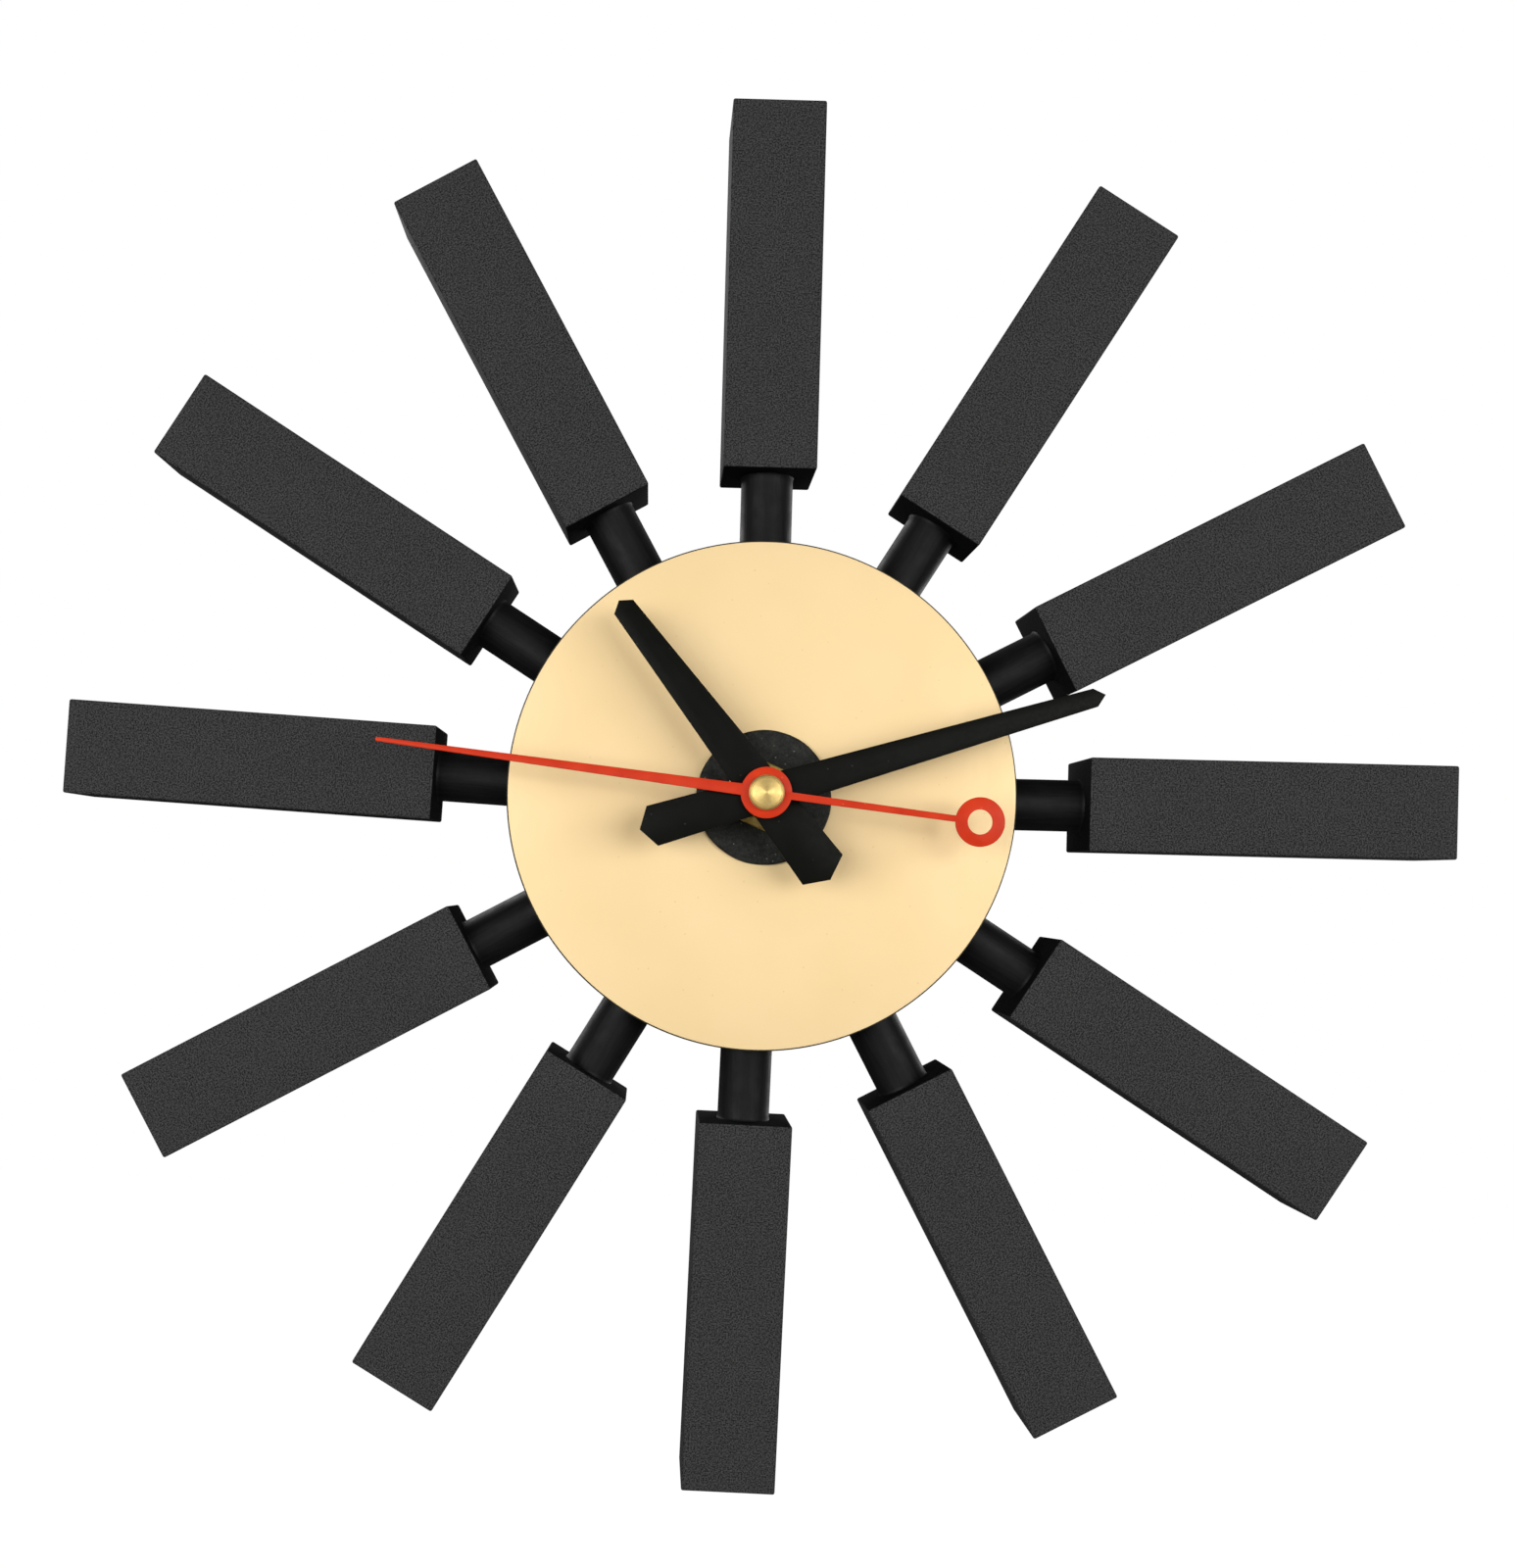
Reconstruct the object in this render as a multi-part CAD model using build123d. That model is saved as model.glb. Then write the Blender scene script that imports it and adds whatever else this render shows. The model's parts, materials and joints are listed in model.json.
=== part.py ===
from build123d import *
from math import atan2, ceil, cos, degrees, hypot, pi, radians, sin
import os

# Sunburst wall clock: twelve square blocks stand on dowels around a round hub, with a
# satin metal dial, three hands and a battery quartz movement in the back of the hub.
#
# Everything is drawn face on: X right, Y up and Z the height above the wall, with the
# hand axis at X = Y = 0. node() turns it upright, so that the finished clock has +Z
# towards twelve o'clock, its dial facing -Y and its back on the wall plane Y = 0.

# ---- Driving dimensions, in millimetres -------------------------------------------

HUB_RADIUS = 51.5
HUB_DEPTH = 40.0
HUB_RECESS_RADIUS = 38.5
HUB_FRONT_WALL = 3.5
HUB_EDGE = 0.5
SHAFT_HOLE_RADIUS = 4.3

DIAL_RADIUS = 52.0
DIAL_THICK = 1.0
DIAL_HOLE_RADIUS = 4.2

BLOCK_WIDTH = 19.2
BLOCK_DEPTH = 19.0
BLOCK_INNER = 67.1                # the block's inner end, from the hand axis
BLOCK_OUTER = 142.4               # its outer end
BLOCK_EDGE = 0.35

DOWEL_RADIUS = 5.4
DOWEL_GLUE_GAP = 0.05
DOWEL_IN_HUB = 11.0
DOWEL_IN_BLOCK = 15.0
DOWEL_CHAMFER = 0.6

# Each spoke is glued in by hand: degrees clockwise from its true place, twelve first.
SPOKE_ERROR = [-1.2, 0.1, 0.7, -1.4, 0.8, 0.4, 0.0, -0.7, -0.1, 1.4, 0.6, -0.7]

WASHER_RADIUS = 13.8
WASHER_HOLE_RADIUS = 4.7
WASHER_THICK = 1.2
WASHER_SLIP = (0.4, -0.35)        # the loose washer is clamped a little off centre
NUT_ACROSS_FLATS = 12.8
NUT_TURN = 22.0                   # degrees clockwise that the nut ends up tightened at
NUT_THICK = 2.8
BUSH_RADIUS = 4.0
BUSH_BORE = 2.57
BUSH_FLANGE_RADIUS = 5.6
BUSH_REACH = 9.5                  # how far the bush stands out of the movement's front
THREAD_PITCH = 0.75
THREAD_DEPTH = 0.4
NUT_CLEARANCE = 0.03

HAND_THICK = 0.5
HOUR_HAND_FACE = 50.8             # front of each hand above the wall
MINUTE_HAND_FACE = 52.7
SECOND_HAND_FACE = 54.5

# Degrees clockwise from twelve that the three hands point at rest.
HOUR_ANGLE = 320.1
MINUTE_ANGLE = 71.1
SECOND_ANGLE = 275.1

HOUR_TUBE_RADIUS = 2.5
HOUR_TUBE_BORE = 1.52
MINUTE_TUBE_RADIUS = 1.45
MINUTE_TUBE_BORE = 0.56
SECOND_ARBOR_RADIUS = 0.5
SEAT_CLEARANCE = 0.01

MOVEMENT_SIZE = 56.0
MOVEMENT_DEPTH = 16.5
MOVEMENT_CORNER = 4.0
SHELL_THICK = 1.2
SHELL_SPLIT = 29.0                # height of the joint between the two shells

PIVOT_RADIUS = 0.4
PIVOT_CLEARANCE = 0.05
PIVOT_DEPTH = 0.6
WHEEL_THICK = 0.8
PINION_THICK = 1.2

BATTERY_RADIUS = 7.0
BATTERY_LENGTH = 49.5
BATTERY_NUB_RADIUS = 2.7
BATTERY_NUB = 1.0
BATTERY_Y = -19.2

HANGER_HEIGHT = 44.6              # hanging hole above the hand axis
HANGER_HOLE_RADIUS = 2.6
HANGER_WIDTH = 31.0
HANGER_TALL = 10.0
HANGER_THICK = 1.2
HANGER_SCREW_SPACING = 22.0

# ---- Heights above the wall that follow from them ---------------------------------

HUB_WALL_BACK = HUB_DEPTH - HUB_FRONT_WALL
DIAL_FACE = HUB_DEPTH + DIAL_THICK
WASHER_FACE = DIAL_FACE + WASHER_THICK
NUT_FACE = WASHER_FACE + NUT_THICK
BUSH_FACE = HUB_WALL_BACK + BUSH_REACH
BLOCK_MIDDLE = HUB_DEPTH - BLOCK_DEPTH / 2

CASE_FRONT = HUB_WALL_BACK
CASE_BACK = CASE_FRONT - MOVEMENT_DEPTH
ROOM_FRONT = CASE_FRONT - SHELL_THICK
ROOM_BACK = CASE_BACK + SHELL_THICK

# The wheel train, from the back of the movement to the front.
ROTOR_LEVEL = 23.3                # middle heights of each pair of meshing teeth
SECOND_LEVEL = 25.0
THIRD_LEVEL = 26.8
MINUTE_LEVEL = 29.8
MOTION_LEVEL = 31.9
HOUR_LEVEL = 34.1
PLATE_LEVEL = 28.3                # the middle plate between third and minute wheels
PLATE_THICK = 0.8

# ---- Wheel train: tooth counts, modules and centres -------------------------------

SECOND_TEETH = 60
SECOND_PINION = 10
THIRD_TEETH = 75
THIRD_PINION = 10
MINUTE_TEETH = 80
MINUTE_PINION = 12
MOTION_TEETH = 36
MOTION_PINION = 10
HOUR_TEETH = 40
MIDDLE_TEETH = 50                 # intermediate wheel, between rotor and second wheel
MIDDLE_PINION = 10
ROTOR_PINION = 10

TRAIN_MODULE = 0.25               # second wheel train
ROTOR_MODULE = 0.20
MOTION_MODULE = 0.48              # minute pinion and motion wheel


def distance(module, teeth_a, teeth_b):
    """Centre distance of two meshing gears."""
    return module * (teeth_a + teeth_b) / 2


def module_for(centre_distance, teeth_a, teeth_b):
    """Module that makes two gears mesh at a given centre distance."""
    return 2 * centre_distance / (teeth_a + teeth_b)


def polar(radius, angle):
    """Point at a radius and an angle in degrees anticlockwise from +X."""
    return (radius * cos(radians(angle)), radius * sin(radians(angle)))


THIRD_DISTANCE = distance(TRAIN_MODULE, SECOND_PINION, THIRD_TEETH)
MIDDLE_DISTANCE = distance(TRAIN_MODULE, SECOND_TEETH, MIDDLE_PINION)
MOTION_DISTANCE = distance(MOTION_MODULE, MINUTE_PINION, MOTION_TEETH)
ROTOR_DISTANCE = distance(ROTOR_MODULE, MIDDLE_TEETH, ROTOR_PINION)
MINUTE_MODULE = module_for(THIRD_DISTANCE, THIRD_PINION, MINUTE_TEETH)
HOUR_MODULE = module_for(MOTION_DISTANCE, MOTION_PINION, HOUR_TEETH)

THIRD_BEARING = 165.0             # directions of the centres, anticlockwise from +X
MIDDLE_BEARING = 50.0
MOTION_BEARING = 0.0
ROTOR_BEARING = 20.0              # seen from the intermediate wheel

CENTRE = (0.0, 0.0)
THIRD_AT = polar(THIRD_DISTANCE, THIRD_BEARING)
MIDDLE_AT = polar(MIDDLE_DISTANCE, MIDDLE_BEARING)
MOTION_AT = polar(MOTION_DISTANCE, MOTION_BEARING)
ROTOR_STEP = polar(ROTOR_DISTANCE, ROTOR_BEARING)
ROTOR_AT = (MIDDLE_AT[0] + ROTOR_STEP[0], MIDDLE_AT[1] + ROTOR_STEP[1])

# ---- Small helpers ----------------------------------------------------------------


def disc(radius, low, high, at=CENTRE):
    """Solid round bar along Z between two heights."""
    base = Plane.XY.offset(low) * Pos(at[0], at[1], 0)
    return extrude(base * Circle(radius), high - low)


def tube(radius, bore, low, high, at=CENTRE):
    """Round bar with a hole through it."""
    return disc(radius, low, high, at) - disc(bore, low, high, at)


def slab(x_low, x_high, y_low, y_high, z_low, z_high):
    """Box between two corners."""
    middle = Pos((x_low + x_high) / 2, (y_low + y_high) / 2, (z_low + z_high) / 2)
    return middle * Box(x_high - x_low, y_high - y_low, z_high - z_low)


def plate(outline, low, high):
    """Flat plate with a straight-sided outline."""
    face = make_face(Polyline(*outline, close=True))
    return extrude(Plane.XY.offset(low) * face, high - low)


def clockwise(degrees_from_twelve):
    """Turn something drawn pointing at twelve to another place on the dial."""
    return Rot(0, 0, -degrees_from_twelve)


def node(name, *solids):
    """Stand the pieces upright in the clock's own frame and write them as one node."""
    upright = [Rot(90, 0, 0) * solid for solid in solids]
    shape = upright[0] if len(upright) == 1 else Compound(children=upright)
    shape.label = name
    export_step(shape, os.path.join("parts", name + ".step"))


# ---- Gears ------------------------------------------------------------------------

TOOTH_TIP = 0.85                  # heights in modules
TOOTH_ROOT = 1.15
TIP_SHARE = 0.17                  # widths as shares of the tooth pitch
PITCH_SHARE = 0.37
ROOT_SHARE = 0.46


def gear(teeth, module, level, thick, phase=0.0, at=CENTRE, bore=0.0):
    """Straight-cut gear with one tooth centred at the phase angle."""
    pitch_radius = module * teeth / 2
    step = 360.0 / teeth
    profile = [
        (pitch_radius - TOOTH_ROOT * module, -ROOT_SHARE / 2),
        (pitch_radius, -PITCH_SHARE / 2),
        (pitch_radius + TOOTH_TIP * module, -TIP_SHARE / 2),
        (pitch_radius + TOOTH_TIP * module, TIP_SHARE / 2),
        (pitch_radius, PITCH_SHARE / 2),
        (pitch_radius - TOOTH_ROOT * module, ROOT_SHARE / 2),
    ]
    outline = []
    for tooth in range(teeth):
        for radius, share in profile:
            x, y = polar(radius, phase + (tooth + share) * step)
            outline.append((x + at[0], y + at[1]))
    body = plate(outline, level - thick / 2, level + thick / 2)
    if bore:
        body -= disc(bore, level - thick, level + thick, at)
    return body


def mesh_phase(driver_phase, driver_teeth, driver_at, follower_teeth, follower_at):
    """Phase that puts a gap of the follower opposite a tooth of the driver."""
    bearing = degrees(atan2(follower_at[1] - driver_at[1], follower_at[0] - driver_at[0]))
    lead = (driver_phase - bearing) / (360.0 / driver_teeth)
    step = 360.0 / follower_teeth
    return bearing + 180.0 - (lead - 0.5) * step


# ---- Case: hub, blocks, dowels, dial ----------------------------------------------


def spoke_angle(hour):
    return 30.0 * hour + SPOKE_ERROR[hour]


def radial_bar(radius, start, end):
    """Round bar along +Y at the middle height of the blocks."""
    across = Plane(origin=(0, start, BLOCK_MIDDLE), x_dir=(1, 0, 0), z_dir=(0, 1, 0))
    return extrude(across * Circle(radius), end - start)


HANGER_POCKET_DEPTH = 1.6
HANGER_POCKET_GAP = 0.4
NAIL_POCKET_RADIUS = 4.6
NAIL_POCKET_DEPTH = 13.0
HANGER_SCREW_RADIUS = 1.2
HANGER_SCREW_HEAD = 2.2
HANGER_SCREW_LENGTH = 9.0
DOWEL_END_GAP = 0.5


def hub_drum():
    drum = disc(HUB_RADIUS, 0, HUB_DEPTH)
    drum -= disc(HUB_RECESS_RADIUS, 0, HUB_WALL_BACK)
    drum = chamfer(drum.faces().sort_by(Axis.Z)[0].edges(), HUB_EDGE)
    drum -= disc(SHAFT_HOLE_RADIUS, HUB_WALL_BACK, HUB_DEPTH)
    socket_floor = HUB_RADIUS - DOWEL_IN_HUB - DOWEL_END_GAP
    socket = radial_bar(DOWEL_RADIUS + DOWEL_GLUE_GAP, socket_floor, HUB_RADIUS + 1)
    for hour in range(12):
        drum -= clockwise(spoke_angle(hour)) * socket
    half_wide = HANGER_WIDTH / 2 + HANGER_POCKET_GAP
    half_tall = HANGER_TALL / 2 + HANGER_POCKET_GAP
    drum -= slab(-half_wide, half_wide, HANGER_HEIGHT - half_tall, HANGER_HEIGHT + half_tall,
                 0, HANGER_POCKET_DEPTH)
    drum -= disc(NAIL_POCKET_RADIUS, 0, NAIL_POCKET_DEPTH, (0, HANGER_HEIGHT))
    for side in (-1, 1):
        screw_at = (side * HANGER_SCREW_SPACING / 2, HANGER_HEIGHT)
        drum -= disc(HANGER_SCREW_RADIUS + 0.05, 0, HANGER_SCREW_LENGTH + 1, screw_at)
    return drum


def block():
    """One square block, drawn at twelve o'clock, with its dowel hole."""
    bar = slab(-BLOCK_WIDTH / 2, BLOCK_WIDTH / 2, BLOCK_INNER, BLOCK_OUTER,
               HUB_DEPTH - BLOCK_DEPTH, HUB_DEPTH)
    bar = fillet(bar.edges(), BLOCK_EDGE)
    hole_floor = BLOCK_INNER + DOWEL_IN_BLOCK + DOWEL_END_GAP
    return bar - radial_bar(DOWEL_RADIUS + DOWEL_GLUE_GAP, BLOCK_INNER - 1, hole_floor)


def dowel():
    bar = radial_bar(DOWEL_RADIUS, HUB_RADIUS - DOWEL_IN_HUB, BLOCK_INNER + DOWEL_IN_BLOCK)
    ends = bar.edges().filter_by(GeomType.CIRCLE)
    return chamfer(ends, DOWEL_CHAMFER)


DIAL_LIP = 0.3


def dial_disc():
    face = disc(DIAL_RADIUS, HUB_DEPTH, DIAL_FACE)
    rim = face.edges().filter_by(GeomType.CIRCLE).sort_by(Axis.Z)[-1]
    return fillet(rim, DIAL_LIP) - disc(DIAL_HOLE_RADIUS, HUB_DEPTH, DIAL_FACE)


def hanger_plate():
    low = HANGER_POCKET_DEPTH - 0.05 - HANGER_THICK
    high = low + HANGER_THICK
    strip = slab(-HANGER_WIDTH / 2, HANGER_WIDTH / 2, HANGER_HEIGHT - HANGER_TALL / 2,
                 HANGER_HEIGHT + HANGER_TALL / 2, low, high)
    strip = fillet(strip.edges().filter_by(Axis.Z), 2.5)
    strip -= disc(HANGER_HOLE_RADIUS, low, high, (0, HANGER_HEIGHT))
    for side in (-1, 1):
        strip -= disc(HANGER_SCREW_RADIUS + 0.3, low, high,
                      (side * HANGER_SCREW_SPACING / 2, HANGER_HEIGHT))
    return strip


def hanger_screw(side):
    """Pan-head wood screw, with its head towards the wall."""
    at = (side * HANGER_SCREW_SPACING / 2, HANGER_HEIGHT)
    head_top = HANGER_POCKET_DEPTH - 0.05 - HANGER_THICK
    screw = disc(HANGER_SCREW_HEAD, 0.0, head_top, at)
    screw += disc(HANGER_SCREW_RADIUS, head_top, HANGER_SCREW_LENGTH, at)
    slot = slab(at[0] - HANGER_SCREW_HEAD, at[0] + HANGER_SCREW_HEAD, at[1] - 0.3,
                at[1] + 0.3, 0, head_top / 2)
    return screw - slot


# ---- Front fixing: washer, nut, threaded bush -------------------------------------


def threaded_bush():
    """Brass bush, flanged inside the movement, with a ridged outside for its nut."""
    steps = ceil((BUSH_FACE - NUT_FACE) / THREAD_PITCH)
    outline = [(BUSH_BORE, ROOM_FRONT - 0.6), (BUSH_FLANGE_RADIUS, ROOM_FRONT - 0.6),
               (BUSH_FLANGE_RADIUS, ROOM_FRONT), (BUSH_RADIUS, ROOM_FRONT)]
    thread_start = BUSH_FACE - steps * THREAD_PITCH
    outline.append((BUSH_RADIUS, thread_start))
    for turn in range(steps):
        low = thread_start + turn * THREAD_PITCH
        outline.append((BUSH_RADIUS - THREAD_DEPTH, low + THREAD_PITCH / 2))
        outline.append((BUSH_RADIUS, low + THREAD_PITCH))
    outline.append((BUSH_BORE, BUSH_FACE))
    section = make_face(Polyline(*[(r, 0, z) for r, z in outline], close=True))
    return revolve(section, Axis.Z)


def shaft_nut():
    hexagon = RegularPolygon(NUT_ACROSS_FLATS / 2, 6, major_radius=False)
    nut = extrude(Plane.XY.offset(WASHER_FACE) * hexagon, NUT_THICK)
    cone_radius = NUT_ACROSS_FLATS / 2 + 0.15
    crown = disc(cone_radius + 3, WASHER_FACE, NUT_FACE)
    crown = chamfer(crown.edges().filter_by(GeomType.CIRCLE).sort_by(Axis.Z)[-1], 1.2, 3.0)
    nut = nut & crown
    nut -= disc(BUSH_RADIUS + NUT_CLEARANCE, WASHER_FACE, NUT_FACE)
    return clockwise(NUT_TURN) * nut


# ---- Hands ------------------------------------------------------------------------


def pointed_hand(tip, tip_half, tip_apex, tail, tail_half, tail_apex, face):
    """Straight tapered hand that ends in a shallow point at tip and tail."""
    outline = [(0, tip), (tip_half, tip - tip_apex), (tail_half, tail_apex - tail),
               (0, -tail), (-tail_half, tail_apex - tail), (-tip_half, tip - tip_apex)]
    return plate(outline, face - HAND_THICK, face)


HOUR_COLLAR_RADIUS = 3.6
HOUR_COLLAR = 1.6
MINUTE_COLLAR_RADIUS = 2.3
MINUTE_COLLAR = 0.7


def hour_hand():
    blade = pointed_hand(47.9, 2.35, 1.6, 21.4, 4.95, 2.5, HOUR_HAND_FACE)
    back = HOUR_HAND_FACE - HAND_THICK
    blade += disc(HOUR_COLLAR_RADIUS, back - HOUR_COLLAR, back)
    blade -= disc(HOUR_TUBE_RADIUS + SEAT_CLEARANCE, back - HOUR_COLLAR, HOUR_HAND_FACE)
    return clockwise(HOUR_ANGLE) * blade


def minute_hand():
    blade = pointed_hand(69.6, 1.85, 2.1, 25.8, 4.1, 2.6, MINUTE_HAND_FACE)
    back = MINUTE_HAND_FACE - HAND_THICK
    blade += disc(MINUTE_COLLAR_RADIUS, back - MINUTE_COLLAR, back)
    blade -= disc(MINUTE_TUBE_RADIUS + SEAT_CLEARANCE, back - MINUTE_COLLAR, MINUTE_HAND_FACE)
    return clockwise(MINUTE_ANGLE) * blade


SECOND_REACH = 77.2
SECOND_DISC_RADIUS = 5.05
SECOND_EYE_AT = 42.2              # centre of the ring on the tail
SECOND_EYE_RADIUS = 4.87
SECOND_EYE_HOLE = 2.45
SECOND_BOSS_RADIUS = 3.45
SECOND_BOSS_FACE = 56.2
SECOND_TIP_ROUND = 0.42
SECOND_ROOT = 1.16                # half width of the blade at the hub
SECOND_MIDDLE = 0.75              # half width where its taper eases, and of the tail's root
SECOND_MIDDLE_AT = 46.0
SECOND_TAIL_THIN = 0.63           # half width of the tail at its ring


def second_hand():
    low = SECOND_HAND_FACE - HAND_THICK
    tip = SECOND_REACH - SECOND_TIP_ROUND
    blade = plate([(-SECOND_ROOT, 0), (SECOND_ROOT, 0), (SECOND_MIDDLE, SECOND_MIDDLE_AT),
                   (SECOND_TIP_ROUND, tip), (-SECOND_TIP_ROUND, tip),
                   (-SECOND_MIDDLE, SECOND_MIDDLE_AT)], low, SECOND_HAND_FACE)
    blade += disc(SECOND_TIP_ROUND, low, SECOND_HAND_FACE, (0, tip))
    ring_top = SECOND_EYE_HOLE + 0.5 - SECOND_EYE_AT
    blade += plate([(-SECOND_MIDDLE, 0), (-SECOND_TAIL_THIN, ring_top),
                    (SECOND_TAIL_THIN, ring_top), (SECOND_MIDDLE, 0)], low, SECOND_HAND_FACE)
    blade += disc(SECOND_EYE_RADIUS, low, SECOND_HAND_FACE, (0, -SECOND_EYE_AT))
    blade -= disc(SECOND_EYE_HOLE, low, SECOND_HAND_FACE, (0, -SECOND_EYE_AT))
    blade += disc(SECOND_DISC_RADIUS, low, SECOND_HAND_FACE)
    blade -= disc(SECOND_ARBOR_RADIUS + SEAT_CLEARANCE, low, SECOND_HAND_FACE)
    return clockwise(SECOND_ANGLE) * blade


def second_boss():
    """Turned brass boss in front of the second hand, with its sleeve behind."""
    cap = disc(SECOND_BOSS_RADIUS, SECOND_HAND_FACE, SECOND_BOSS_FACE)
    cap = chamfer(cap.edges().filter_by(GeomType.CIRCLE).sort_by(Axis.Z)[-1], 0.4)
    socket_top = SECOND_BOSS_FACE - 0.7
    return cap - disc(SECOND_ARBOR_RADIUS + SEAT_CLEARANCE, SECOND_HAND_FACE, socket_top)


# ---- Movement: wheels -------------------------------------------------------------


def arbor(at, radius, low, high, pivot_back=True, pivot_front=True):
    """Plain arbor whose ends are turned down to run in pivot holes."""
    bar = disc(radius, low, high, at)
    if pivot_back:
        bar += disc(PIVOT_RADIUS, low - PIVOT_DEPTH, low, at)
    if pivot_front:
        bar += disc(PIVOT_RADIUS, high, high + PIVOT_DEPTH, at)
    return bar


ARBOR_RADIUS = 0.6
END_SHAKE = 0.15                  # play of each arbor between its bearings


def second_wheel():
    """Second wheel and pinion on the long arbor that carries the second hand."""
    wheel = disc(PIVOT_RADIUS, ROOM_BACK + END_SHAKE - PIVOT_DEPTH, ROOM_BACK + END_SHAKE)
    wheel += disc(ARBOR_RADIUS, ROOM_BACK + END_SHAKE, PLATE_LEVEL)
    wheel += disc(SECOND_ARBOR_RADIUS, PLATE_LEVEL, SECOND_BOSS_FACE - 0.8)
    wheel += gear(SECOND_TEETH, TRAIN_MODULE, SECOND_LEVEL, WHEEL_THICK)
    return wheel + gear(SECOND_PINION, TRAIN_MODULE, THIRD_LEVEL, PINION_THICK)


def third_wheel():
    wheel = arbor(THIRD_AT, ARBOR_RADIUS, ROOM_BACK + END_SHAKE, ROOM_FRONT - END_SHAKE)
    phase = mesh_phase(0, SECOND_PINION, CENTRE, THIRD_TEETH, THIRD_AT)
    wheel += gear(THIRD_TEETH, TRAIN_MODULE, THIRD_LEVEL, WHEEL_THICK, phase, THIRD_AT)
    return wheel + gear(THIRD_PINION, MINUTE_MODULE, MINUTE_LEVEL, PINION_THICK, 0, THIRD_AT)


def minute_wheel():
    """Minute wheel, minute pinion and the tube that carries the minute hand."""
    phase = mesh_phase(0, THIRD_PINION, THIRD_AT, MINUTE_TEETH, CENTRE)
    wheel = gear(MINUTE_TEETH, MINUTE_MODULE, MINUTE_LEVEL, WHEEL_THICK, phase)
    wheel += gear(MINUTE_PINION, MOTION_MODULE, MOTION_LEVEL, PINION_THICK)
    wheel += disc(MINUTE_TUBE_RADIUS, MINUTE_LEVEL, MINUTE_HAND_FACE + 0.2)
    return wheel - disc(MINUTE_TUBE_BORE, PLATE_LEVEL, MINUTE_HAND_FACE + 1)


def motion_wheel():
    """Motion wheel and pinion on the arbor that the setting knob turns."""
    phase = mesh_phase(0, MINUTE_PINION, CENTRE, MOTION_TEETH, MOTION_AT)
    wheel = gear(MOTION_TEETH, MOTION_MODULE, MOTION_LEVEL, WHEEL_THICK, phase, MOTION_AT)
    wheel += gear(MOTION_PINION, HOUR_MODULE, HOUR_LEVEL, PINION_THICK, 0, MOTION_AT)
    wheel += disc(MOTION_ARBOR_RADIUS, KNOB_FACE + 1, ROOM_FRONT - END_SHAKE, MOTION_AT)
    return wheel + disc(PIVOT_RADIUS, ROOM_FRONT - END_SHAKE,
                        ROOM_FRONT - END_SHAKE + PIVOT_DEPTH, MOTION_AT)


def hour_wheel():
    """Hour wheel on the outer tube that carries the hour hand."""
    phase = mesh_phase(0, MOTION_PINION, MOTION_AT, HOUR_TEETH, CENTRE)
    wheel = gear(HOUR_TEETH, HOUR_MODULE, HOUR_LEVEL, WHEEL_THICK, phase)
    low = HOUR_LEVEL - WHEEL_THICK / 2
    wheel += disc(HOUR_TUBE_RADIUS, low, HOUR_HAND_FACE + 0.2)
    return wheel - disc(HOUR_TUBE_BORE, low, HOUR_HAND_FACE + 1)


def intermediate_wheel():
    plate_back = PLATE_LEVEL - PLATE_THICK / 2
    wheel = arbor(MIDDLE_AT, ARBOR_RADIUS, ROOM_BACK + END_SHAKE, plate_back - END_SHAKE)
    phase = mesh_phase(0, SECOND_TEETH, CENTRE, MIDDLE_PINION, MIDDLE_AT)
    wheel += gear(MIDDLE_PINION, TRAIN_MODULE, SECOND_LEVEL, PINION_THICK, phase, MIDDLE_AT)
    return wheel + gear(MIDDLE_TEETH, ROTOR_MODULE, ROTOR_LEVEL, WHEEL_THICK, 0, MIDDLE_AT)


ROTOR_RADIUS = 3.0
MAGNET_LOW = 24.5
MAGNET_HIGH = 27.3


def rotor_pinion():
    plate_back = PLATE_LEVEL - PLATE_THICK / 2
    pinion = arbor(ROTOR_AT, 0.55, ROOM_BACK + END_SHAKE, plate_back - END_SHAKE)
    phase = mesh_phase(0, MIDDLE_TEETH, MIDDLE_AT, ROTOR_PINION, ROTOR_AT)
    return pinion + gear(ROTOR_PINION, ROTOR_MODULE, ROTOR_LEVEL, PINION_THICK, phase, ROTOR_AT)


def rotor_magnet():
    return tube(ROTOR_RADIUS, 0.55 + SEAT_CLEARANCE, MAGNET_LOW, MAGNET_HIGH, ROTOR_AT)


# ---- Movement: motor, circuit, contacts, knob, battery ----------------------------

STATOR_LEVEL = 25.9
STATOR_THICK = 0.8
STATOR_RING = 4.1
COIL_Y = 19.6
COIL_LOW = 7.2
COIL_HIGH = 17.2
COIL_CORE = 3.0
BOBBIN_RADIUS = 2.0
BOBBIN_FLANGE = 3.4
COIL_RADIUS = 3.1


def stator():
    """Soft-iron plate: a ring round the rotor, two arms, and the core of the coil."""
    low = STATOR_LEVEL - STATOR_THICK / 2
    high = STATOR_LEVEL + STATOR_THICK / 2
    core_low = COIL_Y - COIL_CORE / 2
    core_high = COIL_Y + COIL_CORE / 2
    iron = disc(STATOR_RING, low, high, ROTOR_AT)
    iron += slab(3.2, 6.8, 11.2, core_high, low, high)
    iron += slab(3.2, 9.6, 11.2, 14.0, low, high)
    iron += slab(17.6, 21.2, 7.0, core_high, low, high)
    iron += slab(13.6, 21.2, 7.0, 10.6, low, high)
    iron += slab(3.2, 21.2, core_low, core_high, low, high)
    return iron - disc(ROTOR_RADIUS + 0.3, low, high, ROTOR_AT)


def coil_axis_bar(radius, x_low, x_high):
    across = Plane(origin=(x_low, COIL_Y, STATOR_LEVEL), x_dir=(0, 1, 0), z_dir=(1, 0, 0))
    return extrude(across * Circle(radius), x_high - x_low)


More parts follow.
